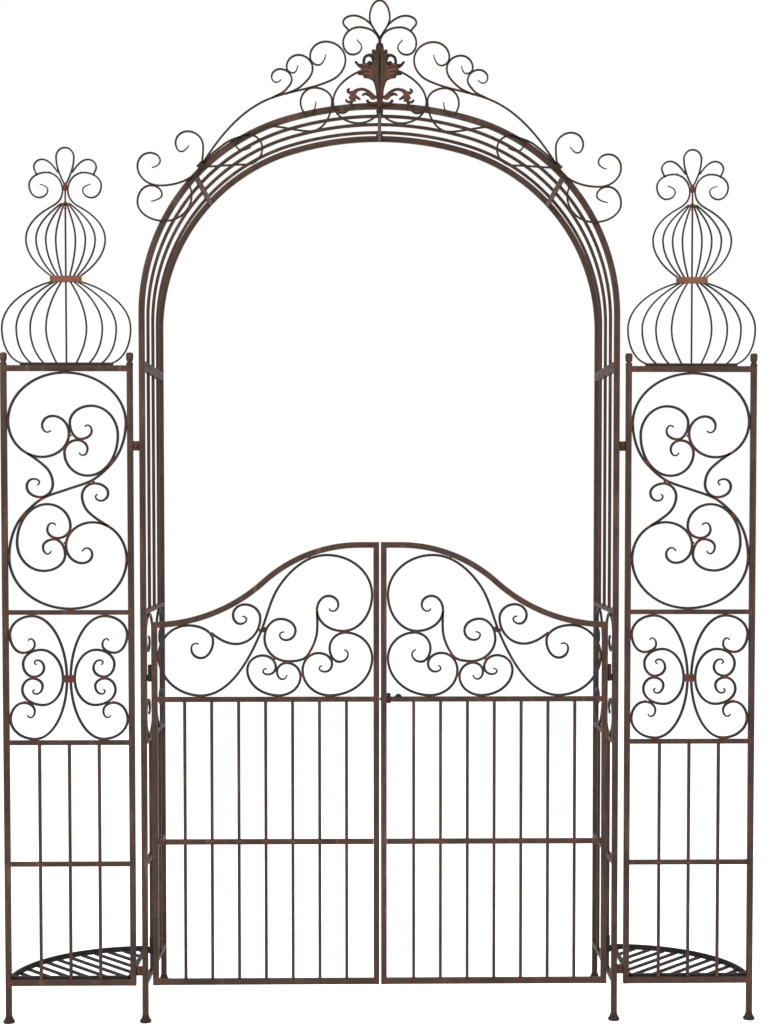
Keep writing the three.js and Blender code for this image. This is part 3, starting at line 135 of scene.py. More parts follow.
class ArchColours(bpy.types.PropertyGroup):
    """Colours of the finishes"""
    tube: colour("Tube", (62, 44, 36), "Brown of tubes and rails")
    tube_dark: colour("Tube, dark", (47, 33, 27), "Dark patches of the brown")
    tube_worn: colour("Tube, worn", (106, 84, 70), "Rubbed, dusty places of the brown")
    scroll: colour("Scroll", (34, 29, 28), "Near black brown of the bent bars")
    scroll_worn: colour("Scroll, worn", (60, 52, 48), "Rubbed places of the bent bars")
    rust: colour("Rust", (90, 50, 39), "Red brown at welds and in spots")
    rust_pale: colour("Rust, pale", (106, 74, 54), "Pale orange brown of the finials' bands")
    cast: colour("Casting", (80, 58, 42), "Brown of the cast leaf")
    # Painted shade: the hollows of the cast leaf's relief take this dark tone, and its ridges keep the lighter casting
    # brown as a painted highlight.
    cast_painted_shade: colour("Casting, hollows", (30, 17, 12), "Dark red brown in the hollows of the cast leaf")
    cast_worn: colour("Casting, worn", (96, 76, 58), "Rubbed ridges of the cast leaf")
    crest: colour("Crest", (38, 27, 17), "Dark brown of the crest's wires")
    crest_worn: colour("Crest, worn", (72, 56, 40), "Rubbed places of the crest's wires")
    bracket: colour("Bracket", (86, 49, 39), "Red brown of the brackets and wrapped collars")
    hinge: colour("Hinge", (30, 22, 18), "Near black of hinges and bolts")


def sizes():
    return bpy.context.scene.arch_sizes


def colours():
    return bpy.context.scene.arch_colours


# Shader maths

class Value:
    """A socket that takes Python's arithmetic."""

    def __init__(self, nodes, socket):
        self.nodes = nodes
        self.socket = socket

    def maths(self, operation, first, second):
        return self.nodes.node("ShaderNodeMath", {"operation": operation}, {0: first, 1: second})

    def __add__(self, other):
        return self.maths("ADD", self, other)

    def __sub__(self, other):
        return self.maths("SUBTRACT", self, other)

    def __rsub__(self, other):
        return self.maths("SUBTRACT", other, self)

    def __mul__(self, other):
        return self.maths("MULTIPLY", self, other)

    def larger(self, other):
        return self.maths("MAXIMUM", self, other)


class Nodes:
    """A node tree whose nodes are written as expressions."""

    def __init__(self, tree):
        self.tree = tree

    def node(self, kind, settings=None, inputs=None, output=0):
        node = self.tree.nodes.new(kind)
        for key, value in (settings or {}).items():
            setattr(node, key, value)
        for key, value in (inputs or {}).items():
            self.feed(node.inputs[key], value)
        return Value(self, node.outputs[output])

    def feed(self, socket, value):
        if isinstance(value, Value):
            self.tree.links.new(value.socket, socket)
        elif hasattr(socket.default_value, "__len__") and len(value) < len(socket.default_value):
            socket.default_value = (*value, 1)
        else:
            socket.default_value = value


class Finish(Nodes):
    """A material made of noises on the object's own coordinates and of what its mesh is marked with."""

    def __init__(self, name):
        self.material = bpy.data.materials.new(name)
        self.material.use_nodes = True
        super().__init__(self.material.node_tree)
        self.shader = self.tree.nodes["Principled BSDF"]
        self.place = self.node("ShaderNodeTexCoord", output="Object")

    def stretched(self, scale):
        return self.node("ShaderNodeMapping", inputs={"Vector": self.place, "Scale": scale})

    def noise(self, scale, detail, roughness=0.55, place=None):
        return self.node("ShaderNodeTexNoise", inputs={
            "Vector": place or self.place, "Scale": scale, "Detail": detail, "Roughness": roughness})

    def band(self, value, low, high):
        return self.node("ShaderNodeMapRange", {"interpolation_type": "SMOOTHSTEP"}, {
            "Value": value, "From Min": low, "From Max": high})

    def blend(self, share, first, second):
        return self.node("ShaderNodeMix", {"data_type": "RGBA"}, {"Factor": share, 6: first, 7: second}, 2)

    def attribute(self, name):
        return self.node("ShaderNodeAttribute", {"attribute_name": name}, output="Fac")

    def bump(self, height, distance, strength):
        return self.node("ShaderNodeBump", inputs={"Height": height, "Distance": distance, "Strength": strength})

    def set(self, sockets):
        for name, value in sockets.items():
            self.feed(self.shader.inputs[name], value)


def linear(gamma):
    return [channel / 12.92 if channel <= 0.04045 else ((channel + 0.055) / 1.055) ** 2.4 for channel in gamma]


METALLIC, ROUGHNESS, SPECULAR = 0.08, 0.52, 0.14  # of lacquer without rust or wear


def rusted(name, base, dark, worn, rust, red, seam, painted_relief_shade):
    """Brown lacquer over steel, rubbed and dusty in places. Red is the strength of small rust spots and seam that of
    the rust where the mesh is marked. Where the mesh is marked with its depth, the dark tone is painted shade in the
    hollows and the ridges keep the lighter base tone as a painted highlight."""
    finish = Finish(name)
    base, dark, worn, rust = (linear(each) for each in (base, dark, worn, rust))
    broad = finish.noise(7, 4)
    patches = finish.noise(38, 5, 0.62)
    grit = finish.noise(310, 4, 0.7)
    streaks = finish.noise(46, 4, 0.6, finish.stretched((1, 1, 0.12)))
    # Painted shade and highlight: where the mesh is marked with its depth, the hollows take the dark tone and the
    # ridges the lighter base.
    if painted_relief_shade:
        shade = finish.band(finish.attribute("painted_relief_shade") + patches * 0.4 - 0.2, 0.3, 0.95)
    else:
        shade = finish.band(broad * 0.55 + patches * 0.45, 0.36, 0.66)
    rubbed = finish.band(streaks * 0.7 + grit * 0.3, 0.54, 0.74)
    spots = finish.band(patches * 0.6 + grit * 0.4, 0.55, 0.68) * red
    seams = finish.band(finish.attribute("rust") + patches * 0.9 - 0.45, 0.12, 0.8) * seam
    rusty = spots.larger(seams)
    tone = finish.blend(shade, dark, base)
    tone = finish.blend(rubbed * 0.6, tone, worn)
    tone = finish.blend(rusty, tone, rust)
    finish.set({
        "Base Color": tone,
        "Roughness": rusty * 0.25 + rubbed * 0.08 + grit * 0.12 + ROUGHNESS,
        "Metallic": METALLIC - rusty * (METALLIC * 0.8),
        "Specular IOR Level": SPECULAR,
        "Normal": finish.bump(grit * 0.6 + patches * 0.4 + rusty * 0.3, 0.0006, 0.7),
    })
    return finish.material


# Each finish's name, its colours for the base, the dark patches (on the casting, painted shade in the hollows) and the
# rubbed places, and its red and seam
FINISH_ROWS = {
    "tube": ("tube lacquer", ("tube", "tube_dark", "tube_worn"), 0.3, 0.4),
    "scroll": ("scroll lacquer", ("scroll", "scroll", "scroll_worn"), 0.25, 0.5),
    "crest": ("crest lacquer", ("crest", "crest", "crest_worn"), 0.2, 0.2),
    "collar": ("collar rust", ("rust_pale", "rust", "tube_worn"), 0.5, 0.4),
    "bracket": ("bracket rust", ("bracket", "crest", "tube_worn"), 0.2, 0.2),
    "hinge": ("hinge black", ("hinge", "hinge", "scroll_worn"), 0.3, 0.4),
    "cast": ("casting", ("cast", "cast_painted_shade", "cast_worn"), 0.2, 0.4),
    "foot": ("foot lacquer", ("tube_dark", "hinge", "tube"), 0.3, 0.4),
}
FINISHES = {}


def make_finishes():
    for key, (name, tones, red, seam) in FINISH_ROWS.items():
        base, dark, worn, rust = (getattr(colours(), tone) for tone in (*tones, "rust"))
        # Only the casting is darkened in its hollows as painted shade, with its ridges lighter as a painted highlight.
        FINISHES[key] = rusted(name, base, dark, worn, rust, red, seam, painted_relief_shade=key == "cast")


# Modelling helpers

def clear_selection():
    if bpy.context.object and bpy.context.object.mode != "OBJECT":
        bpy.ops.object.mode_set(mode="OBJECT")
    bpy.ops.object.select_all(action="DESELECT")


def pick(*pieces):
    clear_selection()
    for piece in pieces:
        piece.select_set(True)
    bpy.context.view_layer.objects.active = pieces[0]


def settle(piece):
    """Puts a piece's place in its mesh and its origin at the frame's origin."""
    pick(piece)
    bpy.ops.object.transform_apply(location=True, rotation=True, scale=True)
    return piece


def fuse(pieces, name):
    for piece in pieces:
        settle(piece)
    pick(*pieces)
    if len(pieces) > 1:
        bpy.ops.object.join()
    whole = bpy.context.object
    whole.name = whole.data.name = name
    return whole


# Least angle, in degrees, at which an edge stays sharp
CREASE, TURNED_CREASE, FINE_CREASE = 45, 40, 35


def smooth(piece, degrees=CREASE):
    pick(piece)
    bpy.ops.object.shade_smooth_by_angle(angle=math.radians(degrees))


def apply(piece, kind, **settings):
    pick(piece)
    modifier = piece.modifiers.new(kind.lower(), kind)
    for key, value in settings.items():
        setattr(modifier, key, value)
    bpy.ops.object.modifier_apply(modifier=modifier.name)


def merge_points(reach=1e-6):
    """Merges the picked mesh's points that lie together and turns its faces outwards."""
    bpy.ops.object.mode_set(mode="EDIT")
    bpy.ops.mesh.select_all(action="SELECT")
    bpy.ops.mesh.remove_doubles(threshold=reach)
    bpy.ops.mesh.normals_make_consistent(inside=False)
    bpy.ops.object.mode_set(mode="OBJECT")


def block(size, edge, segments=2):
    """A block round the origin with its edges eased."""
    clear_selection()
    bpy.ops.mesh.primitive_cube_add(size=1)
    piece = bpy.context.object
    piece.scale = size
    bpy.ops.object.transform_apply(location=False, rotation=False, scale=True)
    apply(piece, "BEVEL", width=edge, segments=segments, limit_method="NONE")
    return piece


def eased_bar(low, high, edge=None):
    """A straight square bar between two corners, with eased edges."""
    low, high = Vector(low), Vector(high)
    return moved(block(high - low, edge or sizes().soft_edge), (low + high) / 2)


def moved(piece, place):
    """Moves a piece and settles it there."""
    piece.location = place
    settle(piece)
    return piece


# How far rust reaches round a weld or a seat
WELD_RUST, HOOP_RUST, LATTICE_RUST, CREST_RUST, CAST_RUST = 0.011, 0.012, 0.008, 0.012, 0.014
TURNED_RUST, HINGE_RUST, BRACKET_RUST = 0.006, 0.005, 0.007


def mark_rust(piece, spots, reach):
    """Stores how near each point of a mesh is to a weld, for the finish."""
    mesh = piece.data
    places = np.empty(len(mesh.vertices) * 3)
    mesh.vertices.foreach_get("co", places)
    places = places.reshape(-1, 3)
    amount = np.zeros(len(places))
    for spot in spots:
        away = np.linalg.norm(places - np.array(spot), axis=1)
        amount = np.maximum(amount, np.exp(-((away / reach) ** 2)))
    layer = mesh.attributes.new("rust", "FLOAT", "POINT")
    layer.data.foreach_set("value", amount.astype(np.float32))


def finish_piece(piece, body, slot, nodes=(), spots=(), reach=WELD_RUST, look=None):
    """Gives a piece its rust marks and the finish of its slot, attaches it to its body and hides the nodes that it
    stands for. Look names a finish other than the slot's."""
    mark_rust(piece, spots, reach)
    piece.data.materials.clear()
    piece.data.materials.append(FINISHES[look or slot])
    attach(piece, body)
    if nodes:
        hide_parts(*nodes)
    return piece


# Bent bars

class Sheet:
    """A flat drawing that shares across and up are placed on."""

    def __init__(self, start, width, low, height, mirror=1):
        self.start, self.width, self.low, self.height, self.mirror = start, width, low, height, mirror

    def point(self, across, up):
        return Vector((self.start + self.mirror * across * self.width, self.low + up * self.height))

    def way(self, degrees):
        angle = math.radians(degrees)
        return Vector((self.mirror * math.cos(angle), math.sin(angle)))


# The longest step along a curve and the widest turn in it, the least turn that its ease is worked out for, and how
# much longer a curve is taken to be than its chord
CURVE_STEP, CURVE_TURN, LEAST_TURN, BOW = 0.0035, 0.14, 0.2, 1.15


def key_curve(keys, sheet):
    """Points of a curve through keys of share across, share up and heading: a quarter ellipse between two keys
    whose headings stand square, and a matching easy bend between any others."""
    points = []
    for first, last in zip(keys, keys[1:]):
        start, end = sheet.point(*first[:2]), sheet.point(*last[:2])
        leave, arrive = sheet.way(first[2]), sheet.way(last[2])
        chord = end - start
        turn = max(math.acos(max(-1, min(1, leave.dot(arrive)))), LEAST_TURN)
        ease = 4 / 3 * math.tan(turn / 4) / math.sin(turn)
        pull = start + leave * abs(chord.dot(leave)) * ease
        push = end - arrive * abs(chord.dot(arrive)) * ease
        steps = max(2, math.ceil(chord.length * BOW / CURVE_STEP), math.ceil(turn / CURVE_TURN))
        for index in range(0 if not points else 1, steps + 1):
            part = index / steps
            rest = 1 - part
            points.append(start * rest ** 3 + pull * 3 * rest * rest * part
                          + push * 3 * rest * part * part + end * part ** 3)
    return points


TAPER, TIP_SHARE = 0.05, 0.55  # length of a bar's thinned end, and how much of its width is left at the tip


def widths_along(points, width, tips):
    """Bar width at each point, thinned towards each end that is a tip."""
    along = [0.0]
    for first, last in zip(points, points[1:]):
        along.append(along[-1] + (last - first).length)
    shares = []
    for place in along:
        away = min(place if tips[0] else TAPER, along[-1] - place if tips[1] else TAPER, TAPER)
        shares.append(TIP_SHARE + (1 - TIP_SHARE) * away / TAPER)
    return [width * share for share in shares]


def even(points, width):
    """A path of one width."""
    return points, [width] * len(points)


def straight(start, end, width, step=0.012):
    """A straight path for a bar on a flat drawing."""
    start, end = Vector(start), Vector(end)
    steps = max(1, math.ceil((end - start).length / step))
    return even([start + (end - start) * index / steps for index in range(steps + 1)], width)


# Sections for a bar one unit wide: a square with its corners eased, and a cast lobe with a flat back, rounded flanks
# and a groove down the face
EASE = 0.09
EASED_CORNER = [(0.5, 0.5 - EASE), (0.5 - EASE * 0.29, 0.5 - EASE * 0.29), (0.5 - EASE, 0.5)]
EASED_SQUARE = [*EASED_CORNER, *[(-x, y) for x, y in EASED_CORNER[::-1]], *[(-x, -y) for x, y in EASED_CORNER],
                *[(x, -y) for x, y in EASED_CORNER[::-1]]]
LOBE = [(-0.5, -0.16), (0.5, -0.16), (0.47, 0), (0.36, 0.13), (0.22, 0.18), (0.1, 0.13), (0, 0),
        (-0.1, 0.13), (-0.22, 0.18), (-0.36, 0.13), (-0.47, 0)]


def section(name, outline):
    """A closed outline as a flat curve."""
    bpy.ops.curve.primitive_bezier_circle_add(location=(0, 0, 0))
    profile = bpy.context.object
    profile.name = name
    profile.data.dimensions = "2D"
    profile.data.splines.clear()
    spline = profile.data.splines.new("POLY")
    spline.points.add(len(outline) - 1)
    for point, (across, up) in zip(spline.points, outline):
        point.co = (across, up, 0, 1)
    spline.use_cyclic_u = True
    return profile


def swept(name, paths, outline=EASED_SQUARE):
    """One flat mesh of bars swept along paths of points and widths, drawn on the ground plane."""
    clear_selection()
    profile = section(name + " section", outline)
    bpy.ops.curve.primitive_bezier_curve_add(location=(0, 0, 0))
    piece = bpy.context.object
    piece.name = name
    curve = piece.data
    curve.dimensions = "3D"
    curve.twist_mode = "Z_UP"
    curve.bevel_mode = "OBJECT"
    curve.bevel_object = profile
    curve.use_fill_caps = True
    curve.splines.clear()
    for points, widths in paths:
        spline = curve.splines.new("POLY")
        spline.points.add(len(points) - 1)
        for point, place, width in zip(spline.points, points, widths):
            point.co = (place.x, place.y, 0, 1)
            point.radius = width
    pick(piece)
    bpy.ops.object.convert(target="MESH")
    merge_points()
    bpy.data.objects.remove(profile)
    return bpy.context.object


def stand(piece, place=(0, 0, 0), turn=0):
    """Stands a flat drawing up on edge, facing the front, turned about the upright axis and moved to its place."""
    piece.matrix_world = Matrix.Translation(place) @ Matrix.Rotation(turn, 4, "Z") @ Matrix.Rotation(QUARTER, 4, "X")
    return settle(piece)


def scroll_paths(rows, sheets, width, tips=None):
    """Paths of keyed rows on each sheet. Tips gives the rows that don't thin at both ends."""
    paths = []
    for sheet in sheets:
        for name, keys in rows.items():
            points = key_curve(keys, sheet)
            paths.append((points, widths_along(points, width, (tips or {}).get(name, (True, True)))))
    return paths


# Welds and collars

LUMPS, BEAD_SHAPE = 0.09, (1.25, 0.95, 0.85, 1)  # share that a bead's face is uneven by, and its proportions


def weld_beads(name, spots, size):
    """Lumpy beads of weld at places on the front view, each turned its own way."""
    clear_selection()
    beads = []
    for index, spot in enumerate(spots):
        bpy.ops.mesh.primitive_ico_sphere_add(subdivisions=2, radius=size / 2, location=(0, 0, 0))
        bead = bpy.context.object
        for vertex in bead.data.vertices:
            vertex.co *= 1 + math.sin(9 * index + 5.1 * vertex.index) * LUMPS
        bead.matrix_world = (Matrix.Translation((*spot, 0)) @ Matrix.Rotation(index * 1.7, 4, "Y")
                             @ Matrix.Diagonal(BEAD_SHAPE))
        beads.append(bead)
    return stand(fuse(beads, name))


# Width along the bars, height, depth and number of the bands that make each collar
Band = namedtuple("Band", "width height depth count")
GATE_COLLAR = Band(0.0205, 0.0125, 0.0084, 3)
LOW_COLLAR = Band(0.0195, 0.0325, 0.0084, 3)
HAUNCH_COLLAR = Band(0.017, 0.019, 0.0072, 3)
BOW_COLLAR = Band(0.0105, 0.0205, 0.0072, 1)
NECK_BAND = Band(0.0105, 0.017, 0.0078, 1)
WAIST_BAND = Band(0.078, 0.0165, 0.0092, 1)
# A band's share of its place, how much lower every second one is, and its edges' share of its width or depth
BAND_FILL, BAND_STEP, BAND_EDGE = 0.94, 0.05, 0.24


def bands(name, place, band, turn=0.0, out=0.0):
    """A collar of a few bands wrapped side by side round the bars, at a place on the front view."""
    rings = []
    share = band.width / band.count
    for index in range(band.count):
        along = (index + 0.5) * share - band.width / 2
        ring = block((share * BAND_FILL, band.depth, band.height * (1 - BAND_STEP * (index % 2))),
                     min(share, band.depth) * BAND_EDGE, 3)
        ring.matrix_world = (Matrix.Translation((place[0], out, place[1])) @ Matrix.Rotation(turn, 4, "Y")
                             @ Matrix.Translation((along, 0, 0)))
        rings.append(ring)
    return fuse(rings, name)


# Copies of frame pieces with soft edges, and turned pieces

BOLT_EDGE, GUIDE_EDGE, TAB_EDGE, FINE_EDGE = 0.0005, 0.0008, 0.0007, 0.0004


def softened(node, width):
    """A copy of a CAD node with its points merged and its edges eased."""
    pick(frame["nodes"][node])
    bpy.ops.object.duplicate()
    piece = bpy.context.object
    piece.name = piece.data.name = node + "_eased"
    bpy.ops.object.parent_clear(type="CLEAR_KEEP_TRANSFORM")
    settle(piece)
    merge_points(2e-6)
    apply(piece, "BEVEL", width=width, segments=2, limit_method="ANGLE",
          angle_limit=math.radians(40), use_clamp_overlap=True)
    smooth(piece, FINE_CREASE)
    return piece


def turned(name, profile, sides, axis=(0, 0, 1)):
    """A body turned about an axis through the origin, from a profile of radius and height."""
    clear_selection()
    bpy.ops.mesh.primitive_plane_add(size=1)
    piece = bpy.context.object
    piece.name = name
    bpy.ops.object.mode_set(mode="EDIT")
    bpy.ops.mesh.select_all(action="SELECT")
    bpy.ops.mesh.delete(type="VERT")
    bpy.ops.object.mode_set(mode="OBJECT")
    piece.data.from_pydata([(radius, 0, height) for radius, height in profile],
                           [(index, index + 1) for index in range(len(profile) - 1)], [])
    bpy.ops.object.mode_set(mode="EDIT")
    bpy.ops.mesh.select_all(action="SELECT")
    bpy.ops.mesh.spin(steps=sides, angle=2 * math.pi, center=(0, 0, 0), axis=(0, 0, 1))
    bpy.ops.object.mode_set(mode="OBJECT")
    merge_points()
    smooth(piece, TURNED_CREASE)
    piece.matrix_world = Vector((0, 0, 1)).rotation_difference(Vector(axis)).to_matrix().to_4x4()
    return settle(piece)


def copies(source, name, places):
    """Copies of a finished mesh at other places, each with its own mesh."""
    made = []
    for index, place in enumerate(places):
        pick(source)
        bpy.ops.object.duplicate()
        piece = bpy.context.object
        piece.name = piece.data.name = f"{name}_{index}"
        made.append(moved(piece, place))
    bpy.data.objects.remove(source)
    return made


# Hoops

HOOP_TURN = math.radians(1.2)  # widest turn between two points of a hoop


def hoop_centre():
    """Across and up of the middle of the tight bend, on the right."""
    size = sizes()
    return POST_X - size.shoulder_radius, SPRING_Z - size.seat + size.stilt


def hoop_place(side, inset, angle):
    """A place on the tight bend, moved inwards."""
    across, up = hoop_centre()
    radius = sizes().shoulder_radius - inset
    return Vector((side * (across + radius * math.cos(angle)), up + radius * math.sin(angle)))


def hoop_path(side, inset, width):
    """Path of a half hoop, moved inwards: a straight foot, a tight bend and a flat one to the crown."""
    size = sizes()
    ease = size.crown_slope
    across, up = hoop_centre()
    flat_radius = size.shoulder_radius + across / math.sin(ease)
    flat_z = up - (flat_radius - size.shoulder_radius) * math.cos(ease)
    radius = flat_radius - inset
    first, last = QUARTER - ease, QUARTER - size.seat / 2 / flat_radius
    steps = math.ceil(first / HOOP_TURN)
    points = [Vector((side * (POST_X - inset), SPRING_Z))]
    points += [hoop_place(side, inset, first * index / steps) for index in range(steps + 1)]
    steps = math.ceil(ease / HOOP_TURN)
    for index in range(1, steps + 1):
        angle = first + (last - first) * index / steps
        points.append(Vector((side * radius * math.cos(angle), flat_z + radius * math.sin(angle))))
    return even(points, width)


class ARCH_OT_hoops(bpy.types.Operator):
    """Bend the four hoop tubes and the rods and crossbars between them"""
    bl_idname = "arch.hoops"
    bl_label = "Hoops and lattice"

    def execute(self, context):
        tube = sizes().post_tube
        for side_name, side in SIDES.items():
            for end, y in ENDS.items():
                hoop = stand(swept(f"hoop_{end}_{side_name}", [hoop_path(side, 0, tube)]), (0, y, 0))
                smooth(hoop)
                finish_piece(hoop, "arch_frame", "tube", [f"arch_{end}_tube_{side_name}"],
                             [(side * POST_X, y, SPRING_Z), (side * 0.001, y, CROWN_Z - tube / 2)], HOOP_RUST)
            self.lattice(side_name, side)
        return {"FINISHED"}

    def lattice(self, side_name, side):
        """The rods and crossbars between a front and a back half hoop."""
        size = sizes()
        inset = (size.post_tube - size.bar) / 2
        parts = [stand(swept(f"rod_{index}", [hoop_path(side, inset, size.bar)]), (0, y, 0))
                 for index, y in enumerate(ROD_YS)]
        low = FRONT_Y + size.post_tube / 2 + size.seat
        high = BACK_Y - size.post_tube / 2 - size.seat
        half, thin = size.rail / 2, size.crown_bar / 2
        inset = (size.post_tube - size.rail) / 2
        angle = size.haunch_angle
        bars = [((side * (POST_X - inset), SPRING_Z + half), 0, half),
                (hoop_place(side, inset, angle), -side * angle, half),
                ((side * (thin + size.seat / 2), CROWN_Z - size.post_tube / 2 - inset), 0, thin)]
        spots = []
        for (x, z), turn, reach in bars:
            bar = eased_bar((-reach, low, -half), (reach, high, half))
            bar.matrix_world = Matrix.Translation((x, 0, z)) @ Matrix.Rotation(turn, 4, "Y")
            parts.append(settle(bar))
            spots += [(x, y, z) for y in (low, *ROD_YS, high)]
        whole = fuse(parts, f"lattice_{side_name}")
        smooth(whole)
        finish_piece(whole, "arch_frame", "tube", [f"arch_lattice_{side_name}"], spots, LATTICE_RUST)


# Straight frames

class ARCH_OT_frames(bpy.types.Operator):
    """Make the posts, the panel frames and grilles and the ladders between front and back posts"""
    bl_idname = "arch.frames"
    bl_label = "Posts and frames"

    low_rail: length("Low rail", 0.417, "Height of the rail across a panel's grille")
    panel_bars: number("Panel bars", 3, "Bars in a panel's grille")

    def execute(self, context):
        size = sizes()
        for side_name, side in SIDES.items():
            bars_low, bars_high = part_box(f"panel_bars_{side_name}")
            scroll_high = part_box(f"panel_low_scrolls_{side_name}")[1]
            bottom = bars_low[2] - size.seat - size.post_tube / 2
            waist = bars_high[2] + size.seat + size.rail / 2
            scroll = scroll_high[2] + size.seat + size.rail / 2
            self.posts(side_name)
            self.panel(side_name, side, bottom, waist, scroll)
            self.grille(side_name)
            self.ladder(side_name, side, bottom, waist, scroll)
        return {"FINISHED"}

    def posts(self, side_name):
        for end, y in ENDS.items():
            node = f"post_{end}_{side_name}"
            x = middle(node).x
            path = straight((x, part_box(node)[0][2]), (x, SPRING_Z - sizes().seat), sizes().post_tube)
            spots = [(x, y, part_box(node)[0][2]), (x, y, SPRING_Z)]
            flat_frame(f"{node}_tube", node, "arch_frame", [path], spots, y)

    def panel(self, side_name, side, bottom, waist, scroll):
        """Posts and rails of a side panel. Its outer post reaches the foot."""
        size = sizes()
        node = f"panel_frame_{side_name}"
        low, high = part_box(node)
        half = size.post_tube / 2
        xs = (low[0] + half, high[0] - half)
        outer, inner = xs if side < 0 else xs[::-1]
        top = high[2] - half
        paths = [straight((outer, low[2]), (outer, high[2]), size.post_tube),
                 straight((inner, bottom - half), (inner, high[2]), size.post_tube),
                 straight((xs[0] + half, bottom), (xs[1] - half, bottom), size.post_tube),
                 straight((xs[0] + half, top), (xs[1] - half, top), size.post_tube)]
        paths += [straight((xs[0] + half, level), (xs[1] - half, level), size.rail) for level in (waist, scroll)]
        spots = [(x, FRONT_Y - half, z) for x in (low[0] + size.post_tube, high[0] - size.post_tube)
                 for z in (bottom, waist, scroll, top)]
        flat_frame(f"{node}_tubes", node, "arch_frame", paths, spots)

    def grille(self, side_name):
        node = f"panel_bars_{side_name}"
        paths, spots = grille_paths(node, self.panel_bars, self.low_rail, sizes().rail)
        flat_frame(f"{node}_rods", node, "arch_frame", paths, spots)

    def ladder(self, side_name, side, bottom, waist, scroll):
        """Rungs and rods between a front and a back post, open where the low scrolls sit."""
        size = sizes()
        node = f"side_ladder_{side_name}"
        low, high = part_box(node)
        top = high[2] - size.rail / 2
        face = POST_X - size.post_tube / 2
        levels = (bottom, self.low_rail, waist, scroll, top)
        rungs = [straight((low[1], level), (high[1], level), size.rail) for level in levels]
        rods = [straight((y, start), (y, end), size.bar) for y in ROD_YS
                for start, end in ((bottom, waist), (scroll, top))]
        rods += [straight((y, waist), (y, scroll), size.bar)
                 for y in (low[1] + size.bar / 2, high[1] - size.bar / 2)]
        parts = [stand(swept("rungs", rungs), (side * (face + size.rail / 2), 0, 0), QUARTER),
                 stand(swept("rods", rods), (side * (face + size.bar / 2), 0, 0), QUARTER)]
        spots = [(side * face, y, level) for y in (low[1], *ROD_YS, high[1]) for level in levels]
        whole = fuse(parts, f"{node}_bars")
        smooth(whole)
        finish_piece(whole, "arch_frame", "tube", [node], spots)


def flat_frame(name, node, body, paths, spots, y=FRONT_Y, drills=()):
    """Bars of one frame drawn on the front view, made as one piece and cut by the drills."""
    whole = stand(swept(name, paths), (0, y, 0))
    for drill in drills:
        apply(whole, "BOOLEAN", operation="DIFFERENCE", object=drill, solver="EXACT", use_self=True)
        bpy.data.objects.remove(drill)
    smooth(whole)
    return finish_piece(whole, body, "tube", [node], spots)


def grille_paths(node, rods, rail_height, rail):
    """Upright rods and their cross rail, spread over a node's box, and the places of their welds."""
    low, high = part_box(node)
    xs = [low[0] + (high[0] - low[0]) * (index + 1) / (rods + 1) for index in range(rods)]
    paths = [straight((x, low[2]), (x, high[2]), sizes().bar) for x in xs]
    paths.append(straight((low[0], rail_height), (high[0], rail_height), rail))
    return paths, [(x, FRONT_Y - sizes().bar / 2, z) for x in xs for z in (low[2], rail_height, high[2])]


